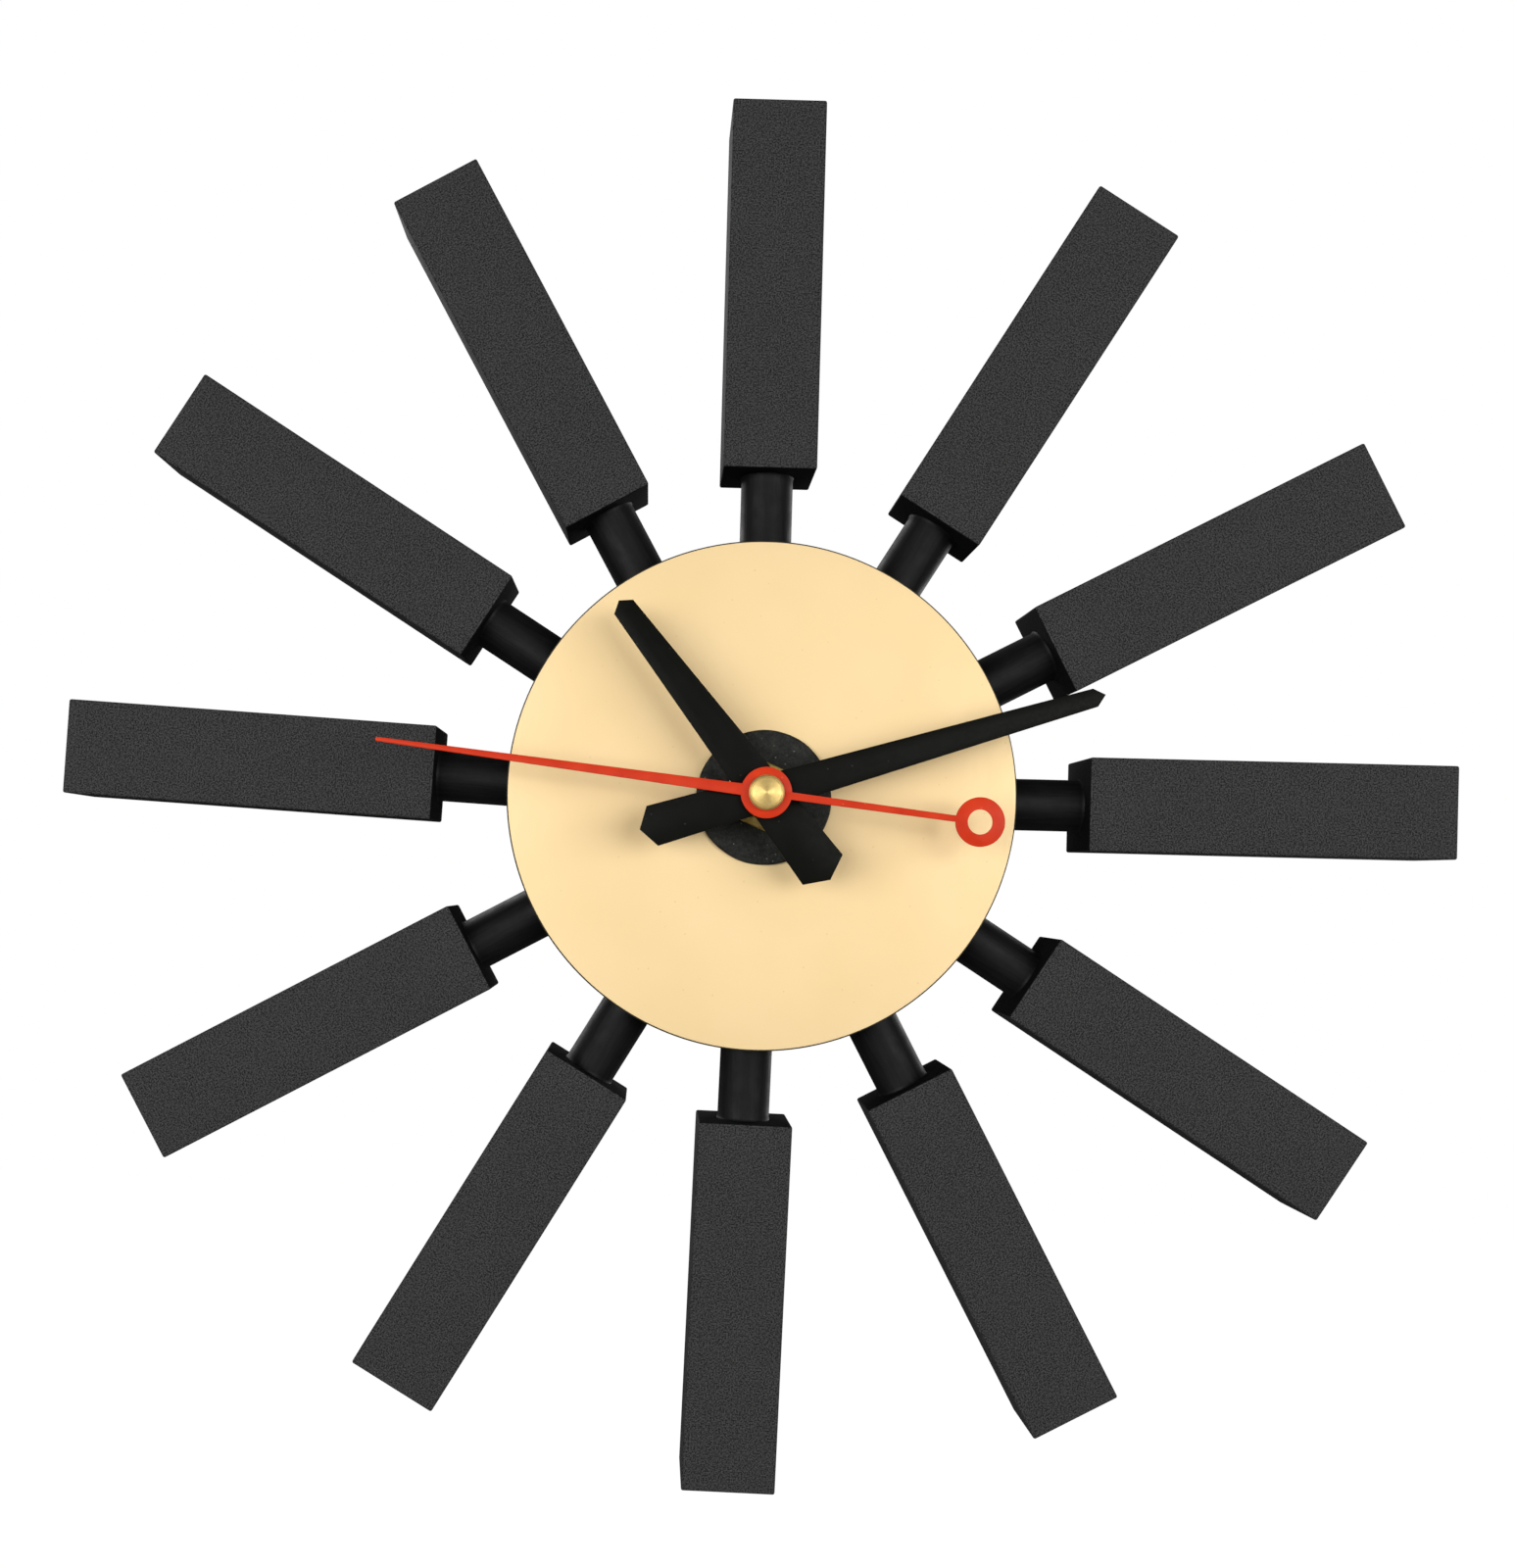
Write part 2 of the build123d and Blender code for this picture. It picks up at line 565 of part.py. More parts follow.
def coil_bobbin():
    spool = coil_axis_bar(BOBBIN_RADIUS, COIL_LOW, COIL_HIGH)
    spool += coil_axis_bar(BOBBIN_FLANGE, COIL_LOW, COIL_LOW + 0.8)
    spool += coil_axis_bar(BOBBIN_FLANGE, COIL_HIGH - 0.8, COIL_HIGH)
    half = COIL_CORE / 2 + 0.05
    thick = STATOR_THICK / 2 + 0.05
    return spool - slab(COIL_LOW, COIL_HIGH, COIL_Y - half, COIL_Y + half,
                        STATOR_LEVEL - thick, STATOR_LEVEL + thick)


def coil_winding():
    ring = coil_axis_bar(COIL_RADIUS, COIL_LOW + 0.85, COIL_HIGH - 0.85)
    return ring - coil_axis_bar(BOBBIN_RADIUS + 0.02, COIL_LOW, COIL_HIGH)


BOARD_LOW = 22.4
BOARD_THICK = 0.8
BOARD_X = (-25.4, -6.0)
BOARD_Y = (14.0, 25.4)
CRYSTAL_RADIUS = 1.0
CRYSTAL_LENGTH = 6.0


def circuit_board():
    board = slab(BOARD_X[0], BOARD_X[1], BOARD_Y[0], BOARD_Y[1], BOARD_LOW,
                 BOARD_LOW + BOARD_THICK)
    top = BOARD_LOW + BOARD_THICK
    glob = disc(2.4, top, top + 0.9, (-11.0, 19.8))
    return board + fillet(glob.edges().filter_by(GeomType.CIRCLE).sort_by(Axis.Z)[-1], 0.6)


def quartz_crystal():
    top = BOARD_LOW + BOARD_THICK
    across = Plane(origin=(-22.0, 22.6, top + CRYSTAL_RADIUS), x_dir=(0, 1, 0), z_dir=(1, 0, 0))
    can = extrude(across * Circle(CRYSTAL_RADIUS), CRYSTAL_LENGTH)
    return fillet(can.edges().filter_by(GeomType.CIRCLE), 0.3)


BAY_WALL_Y = -10.6
BATTERY_LEVEL = ROOM_BACK + 6.9
CONTACT_THICK = 0.4
CONTACT_X = MOVEMENT_SIZE / 2 - SHELL_THICK - 0.25
BATTERY_LOW_X = -24.4


def contact_positive():
    """Spring-brass plate at the button end of the cell."""
    outer = CONTACT_X
    return slab(outer - CONTACT_THICK, outer, BATTERY_Y - 5.5, BATTERY_Y + 5.5,
                BATTERY_LEVEL - 5.5, BATTERY_LEVEL + 5.5)


def contact_negative():
    """Plate and two stacked spring coils at the flat end of the cell."""
    inner = -CONTACT_X + CONTACT_THICK
    leaf = slab(-CONTACT_X, inner, BATTERY_Y - 5.5, BATTERY_Y + 5.5,
                BATTERY_LEVEL - 5.5, BATTERY_LEVEL + 5.5)
    across = Plane(origin=(inner, BATTERY_Y, BATTERY_LEVEL), x_dir=(0, 1, 0), z_dir=(1, 0, 0))
    reach = BATTERY_LOW_X - 0.3 - inner
    spring = extrude(across * Circle(4.2), reach / 2)
    spring += extrude(across * Circle(3.0), reach)
    return leaf + (spring - extrude(across * Circle(2.2), reach))


def battery():
    across = Plane(origin=(BATTERY_LOW_X, BATTERY_Y, BATTERY_LEVEL), x_dir=(0, 1, 0),
                   z_dir=(1, 0, 0))
    can = extrude(across * Circle(BATTERY_RADIUS), BATTERY_LENGTH)
    can = fillet(can.edges().filter_by(GeomType.CIRCLE), 0.6)
    return can + extrude(across * Circle(BATTERY_NUB_RADIUS), BATTERY_LENGTH + BATTERY_NUB)


KNOB_RADIUS = 7.0
KNOB_HEIGHT = 5.0
KNOB_GAP = 0.6
KNOB_FACE = CASE_BACK - KNOB_GAP - KNOB_HEIGHT
KNOB_RIDGES = 24
MOTION_ARBOR_RADIUS = 0.9


def setting_knob():
    """Ribbed knob pressed on the motion arbor at the back of the movement."""
    knob = disc(KNOB_RADIUS, KNOB_FACE, KNOB_FACE + KNOB_HEIGHT, MOTION_AT)
    groove = disc(0.45, KNOB_FACE, KNOB_FACE + KNOB_HEIGHT, (KNOB_RADIUS + 0.1, 0))
    for ridge in range(KNOB_RIDGES):
        turned = Rot(0, 0, ridge * 360 / KNOB_RIDGES) * groove
        knob -= Pos(MOTION_AT[0], MOTION_AT[1], 0) * turned
    return knob - disc(MOTION_ARBOR_RADIUS + SEAT_CLEARANCE, KNOB_FACE + 0.9,
                       KNOB_FACE + KNOB_HEIGHT, MOTION_AT)


# ---- Movement: shells and middle plate --------------------------------------------


def shell_tray(low, high, floor_low, floor_high):
    """Square tray with rounded corners, open on the side away from its floor."""
    half = MOVEMENT_SIZE / 2
    tray = slab(-half, half, -half, half, low, high)
    tray = fillet(tray.edges().filter_by(Axis.Z), MOVEMENT_CORNER)
    room = half - SHELL_THICK
    hollow_low = floor_high if floor_low == low else low
    hollow_high = high if floor_low == low else floor_low
    hollow = slab(-room, room, -room, room, hollow_low, hollow_high)
    hollow = fillet(hollow.edges().filter_by(Axis.Z), MOVEMENT_CORNER - SHELL_THICK)
    bay_wall = slab(-room, room, BAY_WALL_Y - SHELL_THICK, BAY_WALL_Y, hollow_low, hollow_high)
    return tray - hollow + bay_wall


def pivot_hole(at, low, high):
    return disc(PIVOT_RADIUS + PIVOT_CLEARANCE, low, high, at)


def movement_front_shell():
    shell = shell_tray(SHELL_SPLIT, CASE_FRONT, ROOM_FRONT, CASE_FRONT)
    shell -= disc(BUSH_RADIUS + 0.02, ROOM_FRONT, CASE_FRONT)
    for at in (THIRD_AT, MOTION_AT):
        shell -= pivot_hole(at, ROOM_FRONT, ROOM_FRONT + PIVOT_DEPTH)
    return shell


def movement_rear_shell():
    shell = shell_tray(CASE_BACK, SHELL_SPLIT - 0.05, CASE_BACK, ROOM_BACK)
    room = MOVEMENT_SIZE / 2 - SHELL_THICK
    bay = slab(-room + 0.3, room - 0.3, -room + 0.3, BAY_WALL_Y - SHELL_THICK - 0.2,
               CASE_BACK, ROOM_BACK)
    shell -= bay
    for at in (CENTRE, THIRD_AT, MIDDLE_AT, ROTOR_AT):
        shell -= pivot_hole(at, ROOM_BACK - PIVOT_DEPTH, ROOM_BACK)
    return shell - disc(MOTION_ARBOR_RADIUS + PIVOT_CLEARANCE, CASE_BACK, ROOM_BACK, MOTION_AT)


PLATE_X = (-25.0, 25.0)
PLATE_Y = (-9.6, 10.9)


def middle_plate():
    low = PLATE_LEVEL - PLATE_THICK / 2
    high = PLATE_LEVEL + PLATE_THICK / 2
    bridge = slab(PLATE_X[0], PLATE_X[1], PLATE_Y[0], PLATE_Y[1], low, high)
    for side in (-1, 1):
        post_x = side * (PLATE_X[1] - 1.5)
        bridge += slab(post_x - 1.5, post_x + 1.5, -9.0, -5.0, ROOM_BACK + 0.05, low)
    bridge -= disc(ARBOR_RADIUS + 0.06, low, high)
    bridge -= disc(ARBOR_RADIUS + 0.4, low, high, THIRD_AT)
    bridge -= disc(MOTION_ARBOR_RADIUS + 0.4, low, high, MOTION_AT)
    for at in (MIDDLE_AT, ROTOR_AT):
        bridge -= pivot_hole(at, low, high)
    return bridge


# ---- Write every node -------------------------------------------------------------


def main():
    os.makedirs("parts", exist_ok=True)
    one_block = block()
    one_dowel = dowel()
    for hour in range(12):
        turn = clockwise(spoke_angle(hour))
        number = f"{hour or 12:02d}"
        node("block_" + number, turn * one_block)
        node("dowel_" + number, turn * one_dowel)
    node("hub_drum", hub_drum())
    node("dial_disc", dial_disc())
    node("hanger_plate", hanger_plate())
    node("hanger_screws", hanger_screw(-1), hanger_screw(1))
    node("dial_washer", tube(WASHER_RADIUS, WASHER_HOLE_RADIUS, DIAL_FACE, WASHER_FACE,
                             WASHER_SLIP))
    node("shaft_nut", shaft_nut())
    node("threaded_bush", threaded_bush())
    node("hour_hand", hour_hand())
    node("minute_hand", minute_hand())
    node("second_hand", second_hand())
    node("second_boss", second_boss())
    node("second_wheel", second_wheel())
    node("third_wheel", third_wheel())
    node("minute_wheel", minute_wheel())
    node("motion_wheel", motion_wheel())
    node("hour_wheel", hour_wheel())
    node("intermediate_wheel", intermediate_wheel())
    node("rotor_pinion", rotor_pinion())
    node("rotor_magnet", rotor_magnet())
    node("stator", stator())
    node("coil_bobbin", coil_bobbin())
    node("coil_winding", coil_winding())
    node("circuit_board", circuit_board())
    node("quartz_crystal", quartz_crystal())
    node("contact_positive", contact_positive())
    node("contact_negative", contact_negative())
    node("battery", battery())
    node("setting_knob", setting_knob())
    node("movement_front_shell", movement_front_shell())
    node("movement_rear_shell", movement_rear_shell())
    node("middle_plate", middle_plate())


main()
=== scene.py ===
import json
import math
import random

import bmesh
import bpy
from mathutils import Matrix, Vector


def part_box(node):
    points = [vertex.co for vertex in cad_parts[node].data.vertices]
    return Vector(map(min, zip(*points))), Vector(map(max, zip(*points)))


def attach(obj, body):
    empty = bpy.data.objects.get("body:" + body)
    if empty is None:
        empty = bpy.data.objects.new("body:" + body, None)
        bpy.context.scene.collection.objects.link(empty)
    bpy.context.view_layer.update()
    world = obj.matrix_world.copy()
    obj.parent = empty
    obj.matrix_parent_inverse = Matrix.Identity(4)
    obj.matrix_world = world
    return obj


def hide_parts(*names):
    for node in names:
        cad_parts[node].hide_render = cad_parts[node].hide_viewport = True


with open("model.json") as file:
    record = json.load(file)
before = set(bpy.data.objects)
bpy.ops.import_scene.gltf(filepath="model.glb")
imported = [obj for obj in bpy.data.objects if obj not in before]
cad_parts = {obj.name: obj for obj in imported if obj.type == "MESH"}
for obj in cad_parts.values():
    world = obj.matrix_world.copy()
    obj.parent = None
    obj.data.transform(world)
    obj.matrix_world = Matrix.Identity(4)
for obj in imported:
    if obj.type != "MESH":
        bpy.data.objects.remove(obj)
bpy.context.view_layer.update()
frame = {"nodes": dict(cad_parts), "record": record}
scene = bpy.context.scene

MM = 0.001

# Pieces are drawn face on, in millimetres: X right, Y up and Z towards the viewer, with the
# hand axis at X = Y = 0 and the wall at Z = 0. UPRIGHT stands them up in the row frame.
UPRIGHT = Matrix.Rotation(math.radians(90.0), 4, "X")
SHARP_ANGLE = math.radians(32.0)  # edges that bend more than this are drawn sharp


# ---- Reading the frame ----


def size_of(node):
    low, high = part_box(node)
    return (high - low) / MM


def middle_of(node):
    low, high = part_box(node)
    return (low + high) / 2 / MM


def back_of(node):
    """Height above the wall of a node's back, in millimetres."""
    return -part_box(node)[1].y / MM


def face_of(node):
    """Height above the wall of a node's front, in millimetres."""
    return -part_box(node)[0].y / MM


def bearing(point):
    """Degrees clockwise from twelve o'clock of a point in the row frame."""
    return math.degrees(math.atan2(point.x, point.z))


def farthest_from_axis(node):
    """The vertex of a hand that is farthest from the hand axis: its tip."""
    points = [vertex.co for vertex in frame["nodes"][node].data.vertices]
    return max(points, key=lambda point: math.hypot(point.x, point.z))


def turned(degrees_from_twelve):
    """Matrix that stands up a piece drawn pointing at twelve, at its place on the dial."""
    return UPRIGHT @ Matrix.Rotation(math.radians(-degrees_from_twelve), 4, "Z")


# ---- Mesh helpers ----


def added(name, data):
    """A new object of the scene that holds a mesh, a light or a camera."""
    made = bpy.data.objects.new(name, data)
    scene.collection.objects.link(made)
    return made


def solid(name, mesh, matrix):
    """An object of the scene from a bmesh drawn in millimetres."""
    bmesh.ops.recalc_face_normals(mesh, faces=mesh.faces)
    bmesh.ops.scale(mesh, vec=(MM, MM, MM), verts=mesh.verts)
    data = bpy.data.meshes.new(name)
    mesh.to_mesh(data)
    mesh.free()
    made = added(name, data)
    made.matrix_world = matrix
    return made


def piece(name, mesh, slot, replaces=(), cut=(), keep=(), place=UPRIGHT, body="root"):
    """Turn a bmesh drawn in millimetres into a named piece that rides on a body."""
    made = solid(name, mesh, place)
    made.data.materials.append(LOOKS[slot])
    for tool in cut:
        combine(made, "DIFFERENCE", tool)
    for tool in keep:
        combine(made, "INTERSECT", tool)
    made.data.shade_smooth()
    sharp = made.modifiers.new("sharp", "EDGE_SPLIT")
    sharp.split_angle = SHARP_ANGLE
    apply_modifiers(made)
    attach(made, body)
    if replaces:
        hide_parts(*replaces)
    return made


def apply_modifiers(made):
    bpy.context.view_layer.objects.active = made
    for modifier in list(made.modifiers):
        with bpy.context.temp_override(object=made, active_object=made,
                                       selected_objects=[made]):
            bpy.ops.object.modifier_apply(modifier=modifier.name)


def ring(mesh, radii, height):
    """Level ring of vertices about Z, one for each radius."""
    made = []
    for step, radius in enumerate(radii):
        angle = 2 * math.pi * step / len(radii)
        made.append(mesh.verts.new((radius * math.cos(angle), radius * math.sin(angle), height)))
    return made


def skin(mesh, low, high):
    """Faces between two rings; a ring of one vertex is the tip of a cone."""
    segments = max(len(low), len(high))
    if segments == 1:
        return
    for step in range(segments):
        after = (step + 1) % segments
        if len(low) == 1:
            mesh.faces.new((low[0], high[after], high[step]))
        elif len(high) == 1:
            mesh.faces.new((low[step], low[after], high[0]))
        else:
            mesh.faces.new((low[step], low[after], high[after], high[step]))


def lathe(profile, segments=96):
    """Closed solid turned about Z from (radius, height) points, first to last."""
    mesh = bmesh.new()
    rings = []
    for radius, height in profile:
        sides = segments if radius > 0 else 1
        rings.append(ring(mesh, [radius] * sides, height))
    for low, high in zip(rings, rings[1:] + rings[:1]):
        skin(mesh, low, high)
    return mesh


def slab(outline, low, high, bevel=0.0, segments=2):
    """Flat plate with bevelled rims from a closed outline of (x, y) points."""
    mesh = bmesh.new()
    base = [mesh.verts.new((x, y, low)) for x, y in outline]
    face = mesh.faces.new(base)
    grown = bmesh.ops.extrude_face_region(mesh, geom=[face])
    top = [item for item in grown["geom"] if isinstance(item, bmesh.types.BMVert)]
    bmesh.ops.translate(mesh, vec=(0, 0, high - low), verts=top)
    bmesh.ops.recalc_face_normals(mesh, faces=mesh.faces)
    if bevel:
        rims = [edge for edge in mesh.edges if abs(edge.verts[0].co.z - edge.verts[1].co.z) < 1e-6]
        bmesh.ops.bevel(mesh, geom=rims, offset=bevel, segments=segments, profile=0.5,
                        affect="EDGES", clamp_overlap=True)
    return mesh


def arc(centre, radius, start, end, steps):
    """Points along an arc, both ends included, angles in degrees from +X."""
    points = []
    for step in range(steps + 1):
        angle = math.radians(start + (end - start) * step / steps)
        points.append((centre[0] + radius * math.cos(angle), centre[1] + radius * math.sin(angle)))
    return points


def rounded_rectangle(half_x, half_y, corner, centre=(0.0, 0.0)):
    """Closed outline of a rectangle with round corners."""
    points = []
    for side_x, side_y, start in ((1, 1, 0), (-1, 1, 90), (-1, -1, 180), (1, -1, 270)):
        at = (centre[0] + side_x * (half_x - corner), centre[1] + side_y * (half_y - corner))
        points += arc(at, corner, start, start + 90, 6)
    return points


def moved(mesh, x, y, z=0.0):
    bmesh.ops.translate(mesh, vec=(x, y, z), verts=mesh.verts)
    return mesh


def rolled(mesh, degrees, axis):
    """The same mesh, turned about one of the piece's own axes."""
    matrix = Matrix.Rotation(math.radians(degrees), 3, axis)
    bmesh.ops.rotate(mesh, matrix=matrix, verts=mesh.verts)
    return mesh


# ---- Looks ----


class Look:
    """A procedural material: one Principled shader fed by noise in the piece's own space."""

    def __init__(self, name, color, roughness, metallic=0.0, **fixed):
        self.material = bpy.data.materials.new(name)
        self.material.use_nodes = True
        self.tree = self.material.node_tree
        self.shader = self.tree.nodes["Principled BSDF"]
        self.shader.inputs["Base Color"].default_value = (*color, 1.0)
        self.shader.inputs["Roughness"].default_value = roughness
        self.shader.inputs["Metallic"].default_value = metallic
        for socket, value in fixed.items():
            self.shader.inputs[socket.replace("_", " ")].default_value = value
        self.space = self.tree.nodes.new("ShaderNodeTexCoord")

    def link(self, output, target):
        self.tree.links.new(output, target)

    def where(self, stretch=(1.0, 1.0, 1.0)):
        """Coordinates in the piece's own space, stretched along each axis."""
        mapping = self.tree.nodes.new("ShaderNodeMapping")
        mapping.inputs["Scale"].default_value = stretch
        self.link(self.space.outputs["Object"], mapping.inputs["Vector"])
        return mapping.outputs["Vector"]

    def noise(self, size, stretch=(1.0, 1.0, 1.0), detail=3.0, distortion=0.0):
        """Noise whose features are about size millimetres across."""
        texture = self.tree.nodes.new("ShaderNodeTexNoise")
        texture.inputs["Scale"].default_value = 1.0 / (size * MM)
        texture.inputs["Detail"].default_value = detail
        texture.inputs["Distortion"].default_value = distortion
        self.link(self.where(stretch), texture.inputs["Vector"])
        return texture.outputs["Fac"]

    def specks(self, size, threshold, softness):
        """Round specks about size millimetres apart, as a mask."""
        texture = self.tree.nodes.new("ShaderNodeTexVoronoi")
        texture.inputs["Scale"].default_value = 1.0 / (size * MM)
        self.link(self.where(), texture.inputs["Vector"])
        return self.spread(texture.outputs["Distance"], threshold, threshold + softness, 1.0, 0.0)

    def spread(self, value, low, high, to_low=0.0, to_high=1.0):
        """Stretch the range low to high of a value over to_low to to_high."""
        ranger = self.tree.nodes.new("ShaderNodeMapRange")
        for socket, number in (("From Min", low), ("From Max", high),
                               ("To Min", to_low), ("To Max", to_high)):
            ranger.inputs[socket].default_value = number
        self.link(value, ranger.inputs["Value"])
        return ranger.outputs["Result"]

    def math(self, kind, first, second=0.0):
        node = self.tree.nodes.new("ShaderNodeMath")
        node.operation = kind
        for index, value in enumerate((first, second)):
            if isinstance(value, (int, float)):
                node.inputs[index].default_value = value
            else:
                self.link(value, node.inputs[index])
        return node.outputs["Value"]

    def blend(self, mask, first, second):
        """Mix two colours, or colour sockets, by a mask."""
        mixer = self.tree.nodes.new("ShaderNodeMix")
        mixer.data_type = "RGBA"
        for index, value in ((6, first), (7, second)):
            if isinstance(value, tuple):
                mixer.inputs[index].default_value = (*value, 1.0)
            else:
                self.link(value, mixer.inputs[index])
        self.link(mask, mixer.inputs[0])
        return mixer.outputs[2]

    def color(self, output):
        self.link(output, self.shader.inputs["Base Color"])

    def roughness(self, value, to_low, to_high, low=0.3, high=0.7):
        """Stretch the range low to high of a value over a range of roughness."""
        output = self.spread(value, low, high, to_low, to_high)
        self.link(output, self.shader.inputs["Roughness"])

    def mottle(self, size, first, second, stretch=(1.0, 1.0, 1.0), detail=3.0):
        """Patches of two colours, about size millimetres across."""
        patches = self.spread(self.noise(size, stretch, detail), 0.3, 0.7)
        return self.blend(patches, first, second)

    def bump(self, height, distance):
        """Relief of the given height in millimetres; calls stack on each other."""
        node = self.tree.nodes.new("ShaderNodeBump")
        node.inputs["Distance"].default_value = distance * MM
        node.inputs["Strength"].default_value = 1.0
        self.link(height, node.inputs["Height"])
        normal = self.shader.inputs["Normal"]
        if normal.is_linked:
            self.link(normal.links[0].from_socket, node.inputs["Normal"])
        self.link(node.outputs["Normal"], normal)

    def component(self, kind, axis):
        """One axis of a kind of coordinates of the piece's own space."""
        split = self.tree.nodes.new("ShaderNodeSeparateXYZ")
        self.link(self.space.outputs[kind], split.inputs["Vector"])
        return split.outputs["XYZ".index(axis)]

    def facing(self, axis):
        """How far the surface faces along an axis of the piece's own space, 0 to 1."""
        return self.math("ABSOLUTE", self.component("Normal", axis))

    def along(self, axis):
        """Place along an axis of the piece's own space, in metres."""
        return self.component("Object", axis)

    def within(self, value, centre, half):
        """1 where a place lies within half of a centre, both in millimetres."""
        off = self.math("ABSOLUTE", self.math("SUBTRACT", value, centre * MM))
        return self.math("LESS_THAN", off, half * MM)

    def from_axis(self):
        """Distance from the piece's own Z axis, in metres."""
        squares = [self.math("MULTIPLY", self.along(axis), self.along(axis)) for axis in "XY"]
        return self.math("SQRT", self.math("ADD", *squares))

    def rings(self, pitch, wobble=0.0):
        """Concentric turned rings about the piece's Z axis, pitch in millimetres, 0 to 1."""
        radius = self.from_axis()
        if wobble:
            radius = self.math("ADD", radius, self.math("MULTIPLY", self.noise(2.0), wobble * MM))
        wave = self.math("SINE", self.math("MULTIPLY", radius, 2 * math.pi / (pitch * MM)))
        return self.spread(wave, -1.0, 1.0)


def grey(level, tint=(1.0, 1.0, 1.0)):
    return tuple(level * share for share in tint)


def block_paint():
    """Matte black paint on planed hardwood: an even, finely speckled coat, darker on both end
    faces, partly as end grain and partly as painted shade.
    """
    look = Look("black_painted_wood", grey(0.020), 0.66, Specular_IOR_Level=0.07)
    speck = look.spread(look.noise(0.31, detail=2.0), 0.36, 0.64)
    pores = look.spread(look.noise(1.1, (1.0, 0.45, 1.0), 3.0), 0.36, 0.64)
    cloud = look.noise(11.0, detail=2.0)
    tone = look.math("ADD", look.math("MULTIPLY", speck, 0.84),
                     look.math("ADD", look.math("MULTIPLY", cloud, 0.10),
                               look.math("MULTIPLY", pores, 0.06)))
    side = look.blend(tone, grey(0.0040), grey(0.0640))
    # The end faces get a far darker colour: partly end grain, partly painted shade of the inner
    # ends that face the hub.
    end = look.mottle(0.7, grey(0.003), grey(0.007), detail=4.0)
    look.color(look.blend(look.spread(look.facing("Y"), 0.55, 0.85), side, end))
    look.roughness(tone, 0.74, 0.62, 0.2, 0.8)
    look.bump(pores, 0.005)
    look.bump(look.noise(0.34, detail=2.0), 0.008)
    return look.material


def dowel_lacquer():
    """Satin black lacquer over birch: faint long grain under a smooth skin."""
    look = Look("black_lacquered_dowel", grey(0.004), 0.55, Specular_IOR_Level=0.16)
    grain = look.spread(look.noise(0.5, (1.0, 0.06, 1.0), 4.0), 0.35, 0.65)
    look.color(look.blend(grain, grey(0.0022), grey(0.0052)))
    look.roughness(look.noise(3.0), 0.50, 0.62)
    look.bump(grain, 0.015)
    return look.material


RECESS_EDGE = 38.9                # radius where the black coat of the hub's back thins out
BARE_LEVEL = 3.0                  # height above the wall where the recess is bare board


def hub_paint():
    """Black paint over turned fibreboard; overspray fades into the bare recess behind."""
    look = Look("black_painted_hub", grey(0.020), 0.6, Specular_IOR_Level=0.25)
    tooth = look.noise(0.35, detail=3.0)
    paint = look.mottle(9.0, grey(0.014), grey(0.026))
    board = look.mottle(0.9, (0.17, 0.10, 0.048), (0.30, 0.19, 0.10), (1.0, 1.0, 0.5), 5.0)
    inside = look.spread(look.from_axis(), RECESS_EDGE * MM, (RECESS_EDGE - 0.8) * MM)
    ragged = look.math("ADD", look.along("Z"), look.math("MULTIPLY", look.noise(4.0), 6.0 * MM))
    deep = look.spread(ragged, BARE_LEVEL * MM, (BARE_LEVEL + 6.0) * MM, 0.0, 0.85)
    look.color(look.blend(look.math("MULTIPLY", inside, deep), paint, board))
    look.roughness(tooth, 0.52, 0.72)
    look.bump(tooth, 0.03)
    look.bump(look.rings(1.1, 0.5), 0.010)
    return look.material


def dial_brass():
    """Pale lacquered brass sheet: satin, warm and even, with a thin dark ring painted at its rim as
    painted shade.
    """
    look = Look("pale_satin_brass", (0.84, 0.65, 0.35), 0.42, 0.12, Specular_IOR_Level=0.25)
    grain = look.noise(0.22, (1.0, 0.05, 1.0), 2.0)
    fleck = look.specks(3.1, 0.045, 0.03)
    satin = look.mottle(22.0, (0.855, 0.635, 0.325), (0.885, 0.665, 0.355), detail=2.0)
    flecked = look.blend(look.math("MULTIPLY", fleck, 0.35), satin, (0.62, 0.44, 0.20))
    # A thin dark ring at the rim: painted shade of the rolled edge.
    edge = look.spread(look.from_axis(), (DIAL_RADIUS - 0.36) * MM, (DIAL_RADIUS - 0.28) * MM)
    look.color(look.blend(edge, flecked, (0.045, 0.040, 0.028)))
    look.roughness(grain, 0.38, 0.48)
    look.bump(grain, 0.004)
    return look.material


def turned_brass():
    """Bright turned brass: fine tool rings that streak the highlight outwards."""
    look = Look("turned_brass", (0.70, 0.52, 0.20), 0.54, 1.0, Anisotropic=0.60,
                Anisotropic_Rotation=0.25)
    rings = look.rings(0.16, 0.04)
    stain = look.spread(look.noise(0.5, detail=4.0), 0.35, 0.65)
    tone = look.math("ADD", look.math("MULTIPLY", rings, 0.6), look.math("MULTIPLY", stain, 0.4))
    look.color(look.blend(tone, (0.60, 0.42, 0.14), (0.76, 0.57, 0.23)))
    look.roughness(look.noise(1.2), 0.48, 0.60)
    look.bump(rings, 0.004)
    tangent = look.tree.nodes.new("ShaderNodeTangent")
    tangent.direction_type = "RADIAL"
    tangent.axis = "Z"
    look.link(tangent.outputs["Tangent"], look.shader.inputs["Tangent"])
    return look.material


def nut_brass():
    """Milled brass gone dull: darker, with stains and fine cutter marks."""
    look = Look("dull_milled_brass", (0.55, 0.38, 0.09), 0.42, 0.9)
    stain = look.spread(look.noise(1.1, detail=5.0), 0.32, 0.68)
    look.color(look.blend(stain, (0.34, 0.22, 0.045), (0.66, 0.47, 0.14)))
    look.roughness(stain, 0.52, 0.34, 0.0, 1.0)
    look.bump(look.noise(0.2, (1.0, 0.1, 1.0), 2.0), 0.006)
    return look.material


